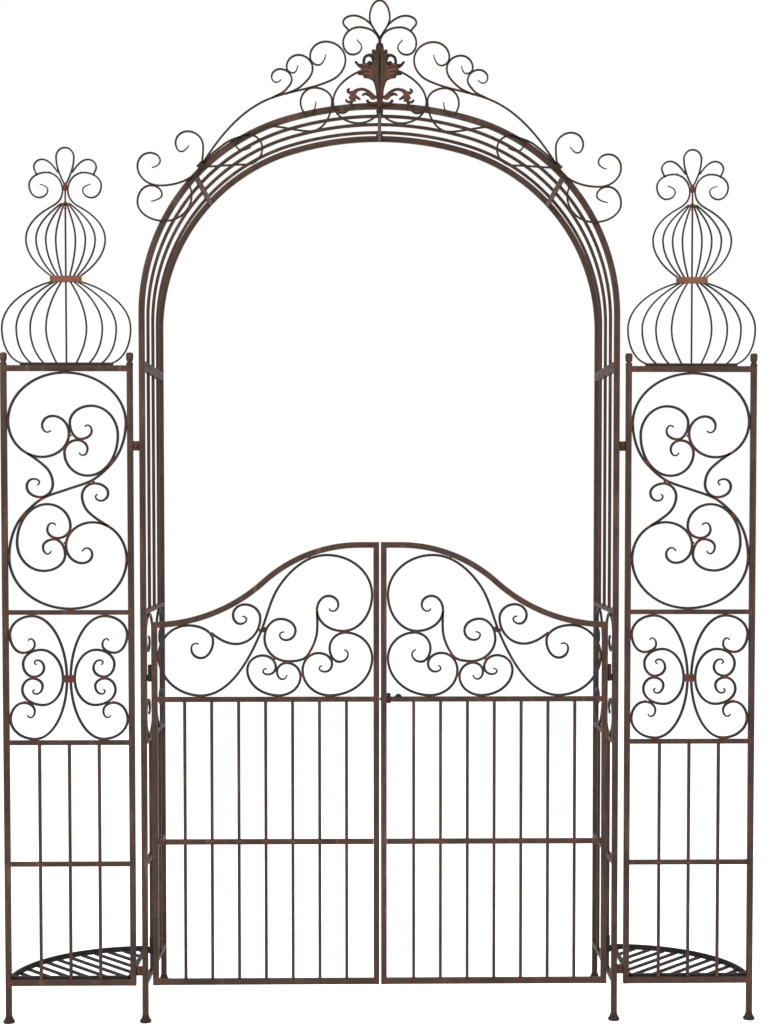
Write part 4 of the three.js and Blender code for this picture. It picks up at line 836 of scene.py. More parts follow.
class ARCH_OT_leaf_frames(bpy.types.Operator):
    """Make the two leaf frames with their swept top rail and the rods of their grilles"""
    bl_idname = "arch.leaf_frames"
    bl_label = "Gate leaf frames"

    first_run: length("First run", 0.287, "Hollow part of the top rail")
    second_run: length("Second run", 0.254, "Crested part of the top rail")
    low_rail: length("Low rail", 0.474, "Height of the rail across the grille")
    hole: length("Hole", 0.0114, "Depth of the hole for the bolt's tip in the other leaf")
    play: length("Play", 0.0004, "Play round the bolt")
    slot: length("Slot", 0.0298, "Length of the slot for the bolt's tab")
    slot_width: length("Slot width", 0.0038, "Width of that slot")
    slot_place: length("Slot place", 0.0427, "Middle of that slot, from the gate's middle")
    leaf_bars: number("Leaf bars", 7, "Bars in a leaf's grille")
    slope: bend("Slope", 42, "Steepest slope of the top rail")

    def execute(self, context):
        size = sizes()
        tube = size.leaf_tube
        for side_name, side in SIDES.items():
            node = f"leaf_frame_{side_name}"
            low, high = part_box(node)
            outer, inner = (low[0], high[0]) if side < 0 else (high[0], low[0])
            way = -side
            rail_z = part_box(f"leaf_bars_{side_name}")[1][2] + size.seat + size.leaf_rail / 2
            side_top = high[2] - (self.first_run + self.second_run) * math.tan(self.slope / 2)
            top_rail = self.top_rail(outer, inner, way, side_top, high[2], tube / 2)
            near, far = outer + way * tube / 2, inner - way * tube / 2
            eased = tube * EASE
            flat = way * (tube / 2 - eased)
            paths = [
                even(top_rail, tube),
                straight((near, low[2]), (near, side_top - tube + eased), tube),
                straight((far, low[2]), (far, high[2] - tube + eased), tube),
                straight((near + flat, low[2] + tube / 2), (far - flat, low[2] + tube / 2), tube),
                straight((near, rail_z), (far, rail_z), size.leaf_rail),
            ]
            front = FRONT_Y - tube / 2
            spots = [(x, front, z) for x in (outer + way * tube, inner - way * tube)
                     for z in (low[2] + tube, rail_z)]
            spots += [(outer + way * tube, front, side_top - tube), (inner - way * tube, front, high[2] - tube)]
            flat_frame(f"{node}_tubes", node, f"{side_name}_leaf", paths, spots, drills=self.drills(side, inner))
            node = f"leaf_bars_{side_name}"
            paths, spots = grille_paths(node, self.leaf_bars, self.low_rail, size.leaf_rail)
            flat_frame(f"{node}_rods", node, f"{side_name}_leaf", paths, spots)
        return {"FINISHED"}

    def drills(self, side, inner):
        """Solids for the hole of the latch bolt in a free stile, and on the right for its bore and its tab's slot."""
        low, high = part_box("latch_bolt")
        radius = (high[1] - low[1]) / 2 + self.play
        axis_y, axis_z = (low[1] + high[1]) / 2, low[2] + (high[1] - low[1]) / 2
        over = 0.004  # how far a drill starts outside the stile
        start, end = (inner - self.hole, inner + over) if side < 0 else (inner - over, high[0] + self.play)
        clear_selection()
        bpy.ops.mesh.primitive_cylinder_add(
            vertices=32, radius=radius, depth=end - start, location=((start + end) / 2, axis_y, axis_z),
            rotation=(0, QUARTER, 0))
        found = [bpy.context.object]
        if side > 0:
            deep = 0.02  # past the rail's top
            bpy.ops.mesh.primitive_cube_add(size=1, location=(self.slot_place, axis_y, axis_z + deep / 2),
                                            scale=(self.slot, self.slot_width, deep))
            found.append(bpy.context.object)
        return found

    def top_rail(self, outer, inner, way, side_top, top, drop):
        """Centre line of a leaf's top rail, from the hinge side up a hollow and a crested bend to the free side."""
        steps = 24  # along each bend
        first = self.first_run / math.sin(self.slope)
        second = self.second_run / math.sin(self.slope)
        crest = outer + way * (self.first_run + self.second_run)
        points = [Vector((outer, side_top - drop))]
        for index in range(1, steps + 1):
            angle = self.slope * index / steps
            across = (first + drop) * math.sin(angle)
            points.append(Vector((outer + way * across, side_top + first - (first + drop) * math.cos(angle))))
        for index in range(1, steps + 1):
            angle = self.slope * (1 - index / steps)
            across = (second - drop) * math.sin(angle)
            points.append(Vector((crest - way * across, top - second + (second - drop) * math.cos(angle))))
        points.append(Vector((inner, top - drop)))
        return points


# Scrolls as rows of keys: share across, share up and heading in degrees. Tips says which ends of a row are thinned
# where they aren't both, welds where bars meet and seats where they touch their frame.

# Gate scrolls, as shares from the hinge stile to the free stile and from the middle rail to the crest
GATE_SCROLLS = {
    "great": [(0.188, 0.35, 130), (0.153, 0.32, 270), (0.197, 0.257, 0), (0.255, 0.375, 90), (0.14, 0.48, 180),
              (0, 0.27, 270), (0.198, 0, 0), (0.481, 0.444, 68), (0.565, 0.747, 56), (0.789, 0.96, 0),
              (1, 0.69, 270), (0.864, 0.441, 180), (0.742, 0.584, 90), (0.796, 0.681, 0), (0.842, 0.621, 270),
              (0.815, 0.577, 180), (0.8, 0.596, 90)],
    "branch": [(0.246, 0.43, -40), (0.362, 0.353, 0), (0.476, 0.53, 90), (0.404, 0.623, 180), (0.349, 0.55, 270),
               (0.383, 0.49, 0), (0.412, 0.524, 90), (0.392, 0.543, 170)],
    "heart": [(0.742, 0.573, -88), (0.743, 0.454, -93), (0.697, 0.275, -125), (0.607, 0.234, 180),
              (0.496, 0.39, 90), (0.571, 0.524, 0), (0.641, 0.444, 270), (0.596, 0.379, 180), (0.567, 0.415, 90),
              (0.589, 0.435, 0)],
    "low_near": [(0.506, 0.184, 180), (0.488, 0.166, 270), (0.512, 0.144, 0), (0.548, 0.195, 90),
                 (0.487, 0.274, 180), (0.415, 0.174, 270), (0.562, 0, 0), (0.664, 0.13, 90), (0.6, 0.223, 180),
                 (0.554, 0.163, 270), (0.579, 0.111, 0), (0.6, 0.141, 90)],
    "low_far": [(0.766, 0.202, 180), (0.752, 0.186, 270), (0.779, 0.162, 0), (0.812, 0.216, 90),
                (0.749, 0.29, 180), (0.674, 0.173, 270), (0.801, 0, 0), (1, 0.255, 90), (0.876, 0.43, 180),
                (0.801, 0.324, 270), (0.846, 0.23, 0), (0.887, 0.281, 90), (0.868, 0.313, 170)],
}
GATE_TIPS = {"branch": (False, True), "heart": (False, True)}
GATE_WELDS = [(0.669, 0.135), (0.426, 0.232), (0.603, 0.229), (0.701, 0.272), (0.541, 0.25), (0.87, 0.436),
              (0.246, 0.425), (0.742, 0.573), (0.372, 0.64), (0.705, 0.95)]
# How high the node's top lies on the drawing, and the wrapped collar's place and turn
GATE_TOP, COLLAR_AT, COLLAR_TURN = 0.96, (0.487, 0.447), 0.35
GATE_SEATS = [(0, 0.27), (0.198, 0), (0.562, 0), (0.801, 0), (1, 0.255), (1, 0.69)]

# Scrolls of a side panel, as shares of the opening that they fill. The long bar runs through both groups.
TALL_SCROLLS = {
    "long_s": [(0.365, 0.755, 205), (0.334, 0.7485, 180), (0.289, 0.777, 90), (0.378, 0.817, 0),
               (0.516, 0.744, 270), (0.286, 0.644, 180), (0, 0.795, 90), (0.485, 1, 0), (1, 0.79, 270),
               (0.853, 0.603, 225), (0.68, 0.538, 203), (0.5, 0.507, 199), (0.32, 0.476, 203), (0.147, 0.411, 225),
               (0, 0.217, 270), (0.515, 0, 0), (1, 0.212, 90), (0.714, 0.367, 180), (0.484, 0.267, 270),
               (0.622, 0.194, 0), (0.707, 0.23, 90), (0.662, 0.258, 180), (0.623, 0.243, 255)],
    "upper_loop": [(0.65, 0.771, 45), (0.675, 0.7785, 0), (0.71, 0.754, 270), (0.615, 0.72, 180),
                   (0.524, 0.788, 90), (0.707, 0.86, 0), (0.932, 0.736, 270), (0.673, 0.565, 180),
                   (0.477, 0.662, 90), (0.585, 0.715, 0), (0.673, 0.678, 270), (0.635, 0.651, 180),
                   (0.604, 0.663, 95)],
    "lower_loop": [(0.357, 0.245, 240), (0.33, 0.2325, 180), (0.288, 0.262, 90), (0.385, 0.295, 0),
                   (0.476, 0.23, 270), (0.293, 0.161, 180), (0.068, 0.28, 90), (0.327, 0.444, 0),
                   (0.523, 0.351, 270), (0.415, 0.3, 180), (0.326, 0.336, 90), (0.366, 0.364, 0),
                   (0.397, 0.354, 275)],
    "upper_sprig": [(0.157, 0.66, -30), (0.31, 0.604, -42), (0.376, 0.529, 270), (0.268, 0.474, 180),
                    (0.154, 0.519, 90), (0.212, 0.551, 0), (0.262, 0.537, 270), (0.243, 0.525, 200)],
    "lower_sprig": [(0.843, 0.352, 150), (0.69, 0.405, 138), (0.624, 0.478, 90), (0.732, 0.532, 0),
                    (0.846, 0.491, 270), (0.783, 0.4585, 180), (0.739, 0.4755, 90), (0.758, 0.485, 0)],
}
TALL_TIPS = {"upper_sprig": (False, True), "lower_sprig": (False, True)}
TALL_WELDS = [(0.87, 0.62), (0.157, 0.66), (0.492, 0.69), (0.28, 0.47), (0.525, 0.735), (0.62, 0.718),
              (0.13, 0.394), (0.843, 0.352), (0.508, 0.323), (0.72, 0.54), (0.475, 0.28), (0.38, 0.297)]
TALL_SEATS = [(0, 0.795), (0.485, 1), (1, 0.79), (0, 0.217), (0.515, 0), (1, 0.212)]

# Low scrolls of a panel or a ladder, one half of them
LOW_SCROLLS = {
    "outer": [(0.156, 0.799, 70), (0.175, 0.816, 0), (0.211, 0.768, 270), (0.11, 0.702, 180), (0, 0.85, 90),
              (0.19, 1, 0), (0.484, 0.49, 270), (0.207, 0, 180), (0, 0.16, 90), (0.116, 0.295, 0),
              (0.207, 0.226, 270), (0.169, 0.1745, 180), (0.143, 0.195, 110)],
    "inner": [(0.226, 0.6085, 190), (0.2075, 0.622, 90), (0.236, 0.642, 0), (0.289, 0.578, 270),
              (0.201, 0.507, 180), (0.11, 0.61, 90), (0.265, 0.726, 0), (0.45, 0.49, 270), (0.277, 0.277, 180),
              (0.102, 0.401, 90), (0.191, 0.493, 0), (0.275, 0.431, 270), (0.22, 0.3665, 180), (0.192, 0.389, 90),
              (0.209, 0.404, 10)],
}


def both_halves(places):
    """Each place on a half of a drawing, with its mirror image."""
    return [(share, up) for across, up in places for share in (across, 1 - across)]


LOW_MIDDLE = (0.5, 0.49)
LOW_WELDS = both_halves([(0.197, 0.5), (0.11, 0.7), (0.12, 0.3)])
LOW_SEATS = both_halves([(0.19, 1), (0.207, 0), (0, 0.85), (0, 0.16)])


def fitted_sheet(node, width, mirror=1, top_share=1.0, axis=0):
    """The drawing whose scrolls fill a node's box."""
    low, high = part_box(node)
    start = (low[axis] if mirror > 0 else high[axis]) + mirror * width / 2
    return Sheet(start, high[axis] - low[axis] - width, low[2] + width / 2, (high[2] - low[2] - width) / top_share,
                 mirror)


def scroll_piece(name, node, body, paths, spots, seats, collars=(), turn=0, place=(0, FRONT_Y, 0)):
    """Sweeps the bars, adds the welds and collars and finishes the whole as one piece."""
    placing = Matrix.Translation(place) @ Matrix.Rotation(turn, 4, "Z")
    whole = fuse([stand(swept(name, paths)), weld_beads(name + "_welds", spots, sizes().weld_size)], name)
    whole.matrix_world = placing
    settle(whole)
    smooth(whole)
    for collar in collars:
        collar.name = collar.data.name = name + "_collar"
        collar.matrix_world = placing
        settle(collar)
        smooth(collar, FINE_CREASE)
        finish_piece(collar, body, "collar", look="bracket")
    marks = [tuple(placing @ Vector((x, 0, z))) for x, z in [*spots, *seats]]
    return finish_piece(whole, body, "scroll", [node], marks)


def placed(sheet, shares):
    return [tuple(sheet.point(across, up)) for across, up in shares]


class ARCH_OT_gate_scrolls(bpy.types.Operator):
    """Bend the scrolls of the two gate leaves"""
    bl_idname = "arch.gate_scrolls"
    bl_label = "Gate scrolls"

    def execute(self, context):
        width = sizes().scroll_bar
        for side_name, side in SIDES.items():
            node = f"leaf_scrolls_{side_name}"
            sheet = fitted_sheet(node, width, -side, GATE_TOP)
            collar = bands("collar", sheet.point(*COLLAR_AT), GATE_COLLAR, side * COLLAR_TURN)
            scroll_piece(f"gate_scrolls_{side_name}", node, f"{side_name}_leaf",
                         scroll_paths(GATE_SCROLLS, [sheet], width, GATE_TIPS),
                         placed(sheet, GATE_WELDS), placed(sheet, GATE_SEATS), [collar])
        return {"FINISHED"}


class ARCH_OT_panel_scrolls(bpy.types.Operator):
    """Bend the tall and low scrolls of the side panels and of the ladders"""
    bl_idname = "arch.panel_scrolls"
    bl_label = "Panel scrolls"

    def execute(self, context):
        width = sizes().scroll_bar
        for side_name, side in SIDES.items():
            node = f"panel_tall_scrolls_{side_name}"
            sheet = fitted_sheet(node, width, -side)
            scroll_piece(f"tall_scrolls_{side_name}", node, "arch_frame",
                         scroll_paths(TALL_SCROLLS, [sheet], width, TALL_TIPS),
                         placed(sheet, TALL_WELDS), placed(sheet, TALL_SEATS))
            self.low(f"low_scrolls_{side_name}", f"panel_low_scrolls_{side_name}", ["outer", "inner"])
            self.low(f"ladder_scrolls_{side_name}", f"side_scrolls_{side_name}", ["outer"], 1)
        return {"FINISHED"}

    def low(self, name, node, rows, axis=0):
        """Rows of low scrolls and their mirror image, along the front or, with axis 1, from front to back."""
        width = sizes().scroll_bar
        near, far = (fitted_sheet(node, width, mirror, axis=axis) for mirror in (1, -1))
        collar = bands("collar", near.point(*LOW_MIDDLE), LOW_COLLAR, QUARTER)
        paths = scroll_paths({row: LOW_SCROLLS[row] for row in rows}, [near, far], width)
        welds = LOW_WELDS if len(rows) > 1 else [LOW_MIDDLE]
        turn, place = (QUARTER, (middle(node).x, 0, 0)) if axis else (0, (0, FRONT_Y, 0))
        scroll_piece(name, node, "arch_frame", paths, placed(near, welds), placed(near, LOW_SEATS), [collar], turn,
                     place)


# Bulb finials. A wire is a share across at its foot, its widest place and its top, with headings at foot and top.
BULB_LEVELS = {"lower": (0.01, 0.17, 0.385), "upper": (0.41, 0.58, 0.745)}
BULB_WIRES = {
    "lower": [((0, 0, 0), (90, 90)), ((0.155, 0.32, 0.07), (62, 122)), ((0.36, 0.57, 0.125), (45, 143)),
              ((0.56, 0.79, 0.18), (38, 152)), ((0.72, 1.018, 0.225), (18, 165))],
    "upper": [((0, 0, 0), (90, 90)), ((0.06, 0.155, 0.02), (74, 108)), ((0.12, 0.312, 0.04), (58, 128)),
              ((0.175, 0.466, 0.062), (46, 142))],
}
# Welds on a finial, its bands and its ring, as share across and share up
BULB_WELDS = [(0, 0.722), (0.04, 0.886), (-0.04, 0.886), (0, 0.835)]
BULB_RUST = [(0, 0.742), (0, 0.818), (0, 0.8)]
# Heights of the neck's band, the ring and the waist band, and the ends of the spindle under the fleuron
NECK_UP, RING_UP, WAIST_UP, SPINDLE_UPS = 0.818, 0.742, 0.3975, (0.73, 0.82)
FOOT_BAR = (0.24, 0.0084, 0.007)  # width, depth and height of the bar under the wires
FLARE, FLARE_X = Vector((0.004, 0.0096, 0.019)), 0.0385  # size of a waist band's turned out end, and its place
RING_RADIUS, RING_WIRE = 0.0048, 0.0017
# The outermost upper wire runs on into a curl
BULB_CURL = [(0.225, 0.41, 34), (0.625, 0.58, 90), (0.268, 0.721, 150), (0.089, 0.76, 126), (0.042, 0.805, 90),
             (0.298, 0.886, 0), (0.568, 0.827, 270), (0.414, 0.771, 180), (0.275, 0.806, 90), (0.4, 0.832, 10)]
FLEURONS = {
    "finial": {
        "loop": [(0, 0.826, 62), (0.14, 0.957, 90), (0, 1, 180)],
        "petal": [(0.11, 0.886, 55), (0.36, 0.946, 0), (0.491, 0.911, 270), (0.44, 0.872, 250)],
        "curl": BULB_CURL,
    },
    "crest": {
        "loop": [(0, 0.621, 62), (0.092, 0.82, 90), (0, 0.987, 180)],
        "petal": [(0.072, 0.747, 45), (0.237, 0.839, 0), (0.335, 0.772, 270), (0.285, 0.694, 240)],
        "curl": [(0.01, 0.615, 75), (0.186, 0.727, 0), (0.335, 0.573, 270), (0.247, 0.462, 180),
                 (0.165, 0.537, 90), (0.209, 0.607, 55)],
    },
}
PLAIN = (False, False)
FLEURON_TIPS = {"loop": PLAIN, "petal": PLAIN, "curl": (False, True)}


class ARCH_OT_finials(bpy.types.Operator):
    """Bend the bulb finials on the side panels"""
    bl_idname = "arch.finials"
    bl_label = "Bulb finials"

    half_width: length("Half width", 0.1625, "Half width that the wires' shares are taken of")
    rise: length("Rise", 0.556, "Height of the finial")
    weld: length("Weld", 0.0062, "Width of a weld bead")

    def execute(self, context):
        wire = sizes().finial_wire
        for side_name in SIDES:
            node = f"bulb_finial_{side_name}"
            place = (middle(node).x, FRONT_Y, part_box(node)[0][2])
            width, depth, height = FOOT_BAR
            low, high = (self.rise * up for up in SPINDLE_UPS)
            beads = [(across, self.rise * up) for across, up in BULB_WELDS]
            parts = [
                stand(swept("wires", self.wires(wire))),
                bands("neck", (0, self.rise * NECK_UP), NECK_BAND),
                self.ring(self.rise * RING_UP),
                eased_bar((-width / 2, -depth / 2, 0), (width / 2, depth / 2, height)),
                eased_bar((-wire / 2, -wire / 2, low), (wire / 2, wire / 2, high)),
                weld_beads("beads", beads, self.weld),
            ]
            whole = moved(fuse(parts, f"bulb_{side_name}"), place)
            smooth(whole)
            spots = [(place[0] + across, place[1], place[2] + self.rise * up)
                     for across, up in BULB_WELDS + BULB_RUST]
            finish_piece(whole, "arch_frame", "scroll", [node], spots)
            waist = self.rise * WAIST_UP
            band = fuse([bands("waist", (0, waist), WAIST_BAND), *self.flares(waist)], f"bulb_band_{side_name}")
            smooth(moved(band, place))
            finish_piece(band, "arch_frame", "collar")
        return {"FINISHED"}

    def wires(self, wire):
        """Paths of the bulbs' wires and of the fleuron over them."""
        sheets = [Sheet(0, self.half_width, 0, self.rise, mirror) for mirror in (1, -1)]
        paths = []
        for bulb, rows in BULB_WIRES.items():
            foot_up, wide_up, top_up = BULB_LEVELS[bulb]
            for across, (leave, arrive) in rows:
                keys = [(across[0], foot_up, leave), (across[1], wide_up, 90), (across[2], top_up, arrive)]
                paths += [even(key_curve(keys, sheet), wire) for sheet in sheets[:2 if across[1] else 1]]
        return paths + scroll_paths(FLEURONS["finial"], sheets, wire, FLEURON_TIPS)

    def ring(self, height):
        """A small open ring where the upper wires come together."""
        clear_selection()
        bpy.ops.mesh.primitive_torus_add(major_radius=RING_RADIUS, minor_radius=RING_WIRE, major_segments=28,
                                         minor_segments=10, rotation=(QUARTER, 0, 0), location=(0, 0, height))
        return settle(bpy.context.object)

    def flares(self, height):
        """Turned out ends of the waist band."""
        return [moved(eased_bar(-FLARE / 2, FLARE / 2), (side * FLARE_X, 0, height)) for side in SIDES.values()]


# Crest, as shares of its half width outwards and of its rise above the hoop
CREST = {
    "first": [(0.493, 0.462, -80), (0.563, 0.359, 0), (0.637, 0.442, 90), (0.493, 0.586, 180), (0.314, 0.41, 270),
              (0.441, 0.214, -25), (0.985, 0.041, -20)],
    "second": [(0.748, 0.356, -80), (0.792, 0.282, 0), (0.852, 0.34, 90), (0.744, 0.456, 180),
               (0.614, 0.326, 270), (0.719, 0.155, -40), (0.86, 0.078, -24)],
    "third": [(0.9, 0.218, -40), (0.944, 0.19, 0), (0.989, 0.244, 90), (0.909, 0.319, 180),
              (0.805, 0.215, 270), (0.859, 0.12, -50), (0.985, 0.041, -30)],
    "bow": [(0, 0.33, 5), (0.195, 0.295, -25), (0.427, 0, 270), (0.195, -0.202, 180), (0, -0.09, 125)],
    "roll": [(0.585, 0.006, -90), (0.652, -0.119, 0), (0.725, -0.004, 90), (0.599, 0.14, 180),
             (0.438, 0.016, 270), (0.635, -0.282, 0), (0.95, -0.238, 6)],
}
CREST_TIPS = {name: (name != "bow", False) for name in CREST}
# The haunch's scrolls, as shares of its reach and rise round the haunch collar
HAUNCH = {
    "back": [(-0.779, 0.34, -20), (-0.64, 0.289, 0), (-0.537, 0.426, 90), (-0.75, 0.57, 180), (-0.953, 0.33, 270),
             (-0.7, 0.03, 0), (0, -0.01, 0)],
    "upper": [(0.19, 0.374, -60), (0.304, 0.262, 0), (0.392, 0.421, 90), (0.205, 0.63, 180), (-0.035, 0.359, 270),
              (0, 0, 285)],
    "outer": [(0.763, -0.031, 170), (0.632, 0.096, 90), (0.79, 0.238, 0), (0.985, -0.004, 270),
              (0.64, -0.355, 180), (0, 0, 120)],
    "lower": [(0.78, -0.643, 170), (0.607, -0.52, 90), (0.779, -0.354, 0), (0.988, -0.654, 270), (0.57, -1, 180),
              (0.168, -0.39, 70), (0.02, 0, 66)],
}
HAUNCH_TIPS = {name: (True, False) for name in HAUNCH}
# From the roll's end down the hoop to the haunch collar
BRACE = [(-0.8, 0.6, -20), (-0.36, 0.4, -38), (0, 0.02, -52)]
# Where the brace and the tail start, where the bow's collar sits, and the spine's ends
ROLL_END, TAIL_START, BOW_COLLAR_AT, SPINE_UPS = (0.95, -0.238), (0.985, 0.041), (0.432, -0.05), (-0.1, 0.64)
CREST_WELDS = [(0.614, 0.337), (0.805, 0.226), (0.6, 0.145), (0.97, 0.05), (0.335, 0.565), (0.86, 0.085)]
HAUNCH_WELDS = [(0.64, -0.355)]


class ARCH_OT_crest(bpy.types.Operator):
    """Bend the scrollwork over the hoop"""
    bl_idname = "arch.crest"
    bl_label = "Crest scrollwork"

    half_width: length("Half width", 0.28, "Half width that the crest's shares are taken of")
    rise: length("Rise", 0.262, "Height of the crest above the hoop")
    haunch_reach: length("Haunch reach", 0.165, "Width of the scrolls beside a haunch collar")
    haunch_rise: length("Haunch rise", 0.14, "Height of the scrolls over a haunch collar")
    weld: length("Weld", 0.0058, "Width of a weld bead")
    spine: length("Spine", 0.008, "Width of the flat bar behind the cast leaf")

    def execute(self, context):
        size = sizes()
        wire = size.crest_wire
        y = middle("crown_scrollwork").y
        collar_at = hoop_place(1, wire / 2 - size.post_tube / 2, size.collar_angle)
        paths, parts, spots = [], [], []
        for mirror in (1, -1):
            crown = Sheet(0, self.half_width, CROWN_Z, self.rise, mirror)
            haunch = Sheet(mirror * collar_at.x, self.haunch_reach, collar_at.y, self.haunch_rise, mirror)
            paths += scroll_paths(CREST, [crown], wire, CREST_TIPS)
            paths += scroll_paths(HAUNCH, [haunch], wire, HAUNCH_TIPS)
            paths += scroll_paths(FLEURONS["crest"], [crown], wire, FLEURON_TIPS)
            paths += self.tails(crown, haunch, wire)
            welds = placed(crown, CREST_WELDS) + placed(haunch, HAUNCH_WELDS)
            parts += [bands("haunch_collar", haunch.point(0, 0), HAUNCH_COLLAR, mirror * size.collar_angle),
                      bands("bow_collar", crown.point(*BOW_COLLAR_AT), BOW_COLLAR),
                      weld_beads("crest_welds", welds, self.weld)]
            spots += [(x, y, z) for x, z in welds]
        low, high = (CROWN_Z + self.rise * up for up in SPINE_UPS)
        parts.append(eased_bar((-self.spine / 2, -wire / 2, low), (self.spine / 2, wire / 2, high)))
        whole = moved(fuse([stand(swept("crest_bars", paths)), *parts], "crest"), (0, y, 0))
        smooth(whole)
        finish_piece(whole, "arch_frame", "scroll", ["crown_scrollwork"], spots, CREST_RUST, "crest")
        return {"FINISHED"}

    def tails(self, crown, haunch, wire):
        """The roll's brace and the tail of the first curl, which run down the hoop to the haunch collar."""
        paths = {"brace": [self.across_to(haunch, crown.point(*ROLL_END), 6), *BRACE],
                 "whip": [self.across_to(haunch, crown.point(*TAIL_START), -20), (0, 0, -58)]}
        return scroll_paths(paths, [haunch], wire, {"brace": PLAIN, "whip": PLAIN})

    def across_to(self, sheet, place, heading):
        """The key of a place and heading on another sheet."""
        return (place.x - sheet.start) / (sheet.width * sheet.mirror), (place.y - sheet.low) / sheet.height, heading


# Cast leaf: lobes as rows of share across, share up and width in metres, each from its root to its tip
LEAF_LOBES = [
    [(0, -0.03, 0.013), (0, 0.03, 0.016), (0, 0.078, 0.0186), (0, 0.128, 0.0225), (0, 0.179, 0.0298),
     (0, 0.22, 0.038), (0, 0.28, 0.041), (0, 0.36, 0.036), (0, 0.43, 0.03), (0, 0.5, 0.0225), (0, 0.54, 0.0195),
     (0, 0.562, 0.015)],
    [(0.008, 0.53, 0.006), (0.018, 0.553, 0.0075), (0.024, 0.557, 0.006)],
    [(0.018, 0.42, 0.016), (0.042, 0.462, 0.015), (0.055, 0.49, 0.011), (0.057, 0.508, 0.005)],
    [(0.03, 0.3, 0.014), (0.045, 0.38, 0.013), (0.066, 0.438, 0.011), (0.1, 0.452, 0.008), (0.135, 0.432, 0.0075),
     (0.146, 0.39, 0.0075), (0.138, 0.355, 0.008)],
    [(0.027, 0.27, 0.02), (0.065, 0.315, 0.024), (0.112, 0.336, 0.022), (0.155, 0.343, 0.016),
     (0.19, 0.354, 0.009), (0.214, 0.377, 0.006)],
    [(0.021, 0.25, 0.02), (0.07, 0.285, 0.022), (0.125, 0.292, 0.02), (0.165, 0.282, 0.014), (0.204, 0.272, 0.006)],
    [(0.018, 0.225, 0.018), (0.07, 0.255, 0.02), (0.115, 0.252, 0.014), (0.15, 0.243, 0.0075)],
    [(0.014, 0.2, 0.016), (0.055, 0.235, 0.018), (0.09, 0.235, 0.01), (0.104, 0.236, 0.005)],
]
# Ribs that fan out of the stem, as shares of how far each stands from the middle
LEAF_RIBS = [(0.017, -0.03, 0.0035), (0.021, 0.08, 0.0035), (0.028, 0.15, 0.004), (0.048, 0.21, 0.0048),
             (0.06, 0.29, 0.005), (0.05, 0.38, 0.0046), (0.03, 0.47, 0.004), (0.012, 0.54, 0.003)]
# Round tips of the volutes, the side lobes and the sprigs: share across, share up and radius
LEAF_BALLS = [(0.092, 0.369, 0.007), (0.217, 0.382, 0.0036), (0.112, 0.007, 0.0042), (0.02, 0.556, 0.003),
              (0.281, 0.121, 0.003)]
# Where rust shows on the leaf and the sprigs
LEAF_RUST = [(0.13, 0.33), (0.1, 0.27), (0, 0.06), (0.245, 0.06), (0.2, 0.1), (0.03, 0)]
# Rings round the stem: share up, width and height
LEAF_RINGS = [(0.085, 0.021, 0.0075), (0.045, 0.025, 0.0085), (0.0, 0.018, 0.0075), (-0.045, 0.013, 0.012)]
# Middle of the leaf's thickness from its back, depth of a ring and least width of a lobe
LEAF_MIDDLE_Y, RING_DEPTH, LEAST_LOBE = -0.0042, 0.0075, 0.003
# The sprigs' lobes, in the same way as the leaf's
SPRIG_LOBES = [
    [(0.04, 0.03, 0.012), (0.072, 0.066, 0.011), (0.105, 0.1, 0.009), (0.15, 0.122, 0.0078), (0.195, 0.118, 0.0085),
     (0.228, 0.098, 0.012), (0.25, 0.062, 0.014), (0.256, 0.02, 0.01)],
    [(0.24, 0.09, 0.01), (0.27, 0.088, 0.009), (0.292, 0.1, 0.007), (0.29, 0.118, 0.006), (0.28, 0.122, 0.005)],
    [(0.25, 0.06, 0.01), (0.268, 0.045, 0.008), (0.284, 0.034, 0.004)],
    [(0.235, 0.06, 0.012), (0.205, 0.04, 0.008), (0.176, 0.022, 0.0045)],
    [(0.24, 0.03, 0.009), (0.222, 0.002, 0.004)],
    [(0.06, 0.03, 0.01), (0.095, 0.064, 0.008), (0.135, 0.077, 0.007), (0.163, 0.062, 0.0045)],
    [(0.03, -0.012, 0.008), (0.08, -0.012, 0.0065), (0.11, 0.002, 0.0065)],
    [(0.252, 0.03, 0.011), (0.257, 0, 0.008), (0.283, -0.066, 0.0075), (0.327, -0.104, 0.007),
     (0.38, -0.1, 0.007), (0.421, -0.076, 0.005)],
    [(0.26, 0.0, 0.008), (0.288, -0.002, 0.0065), (0.305, 0.01, 0.006), (0.307, 0.026, 0.0045)],
]


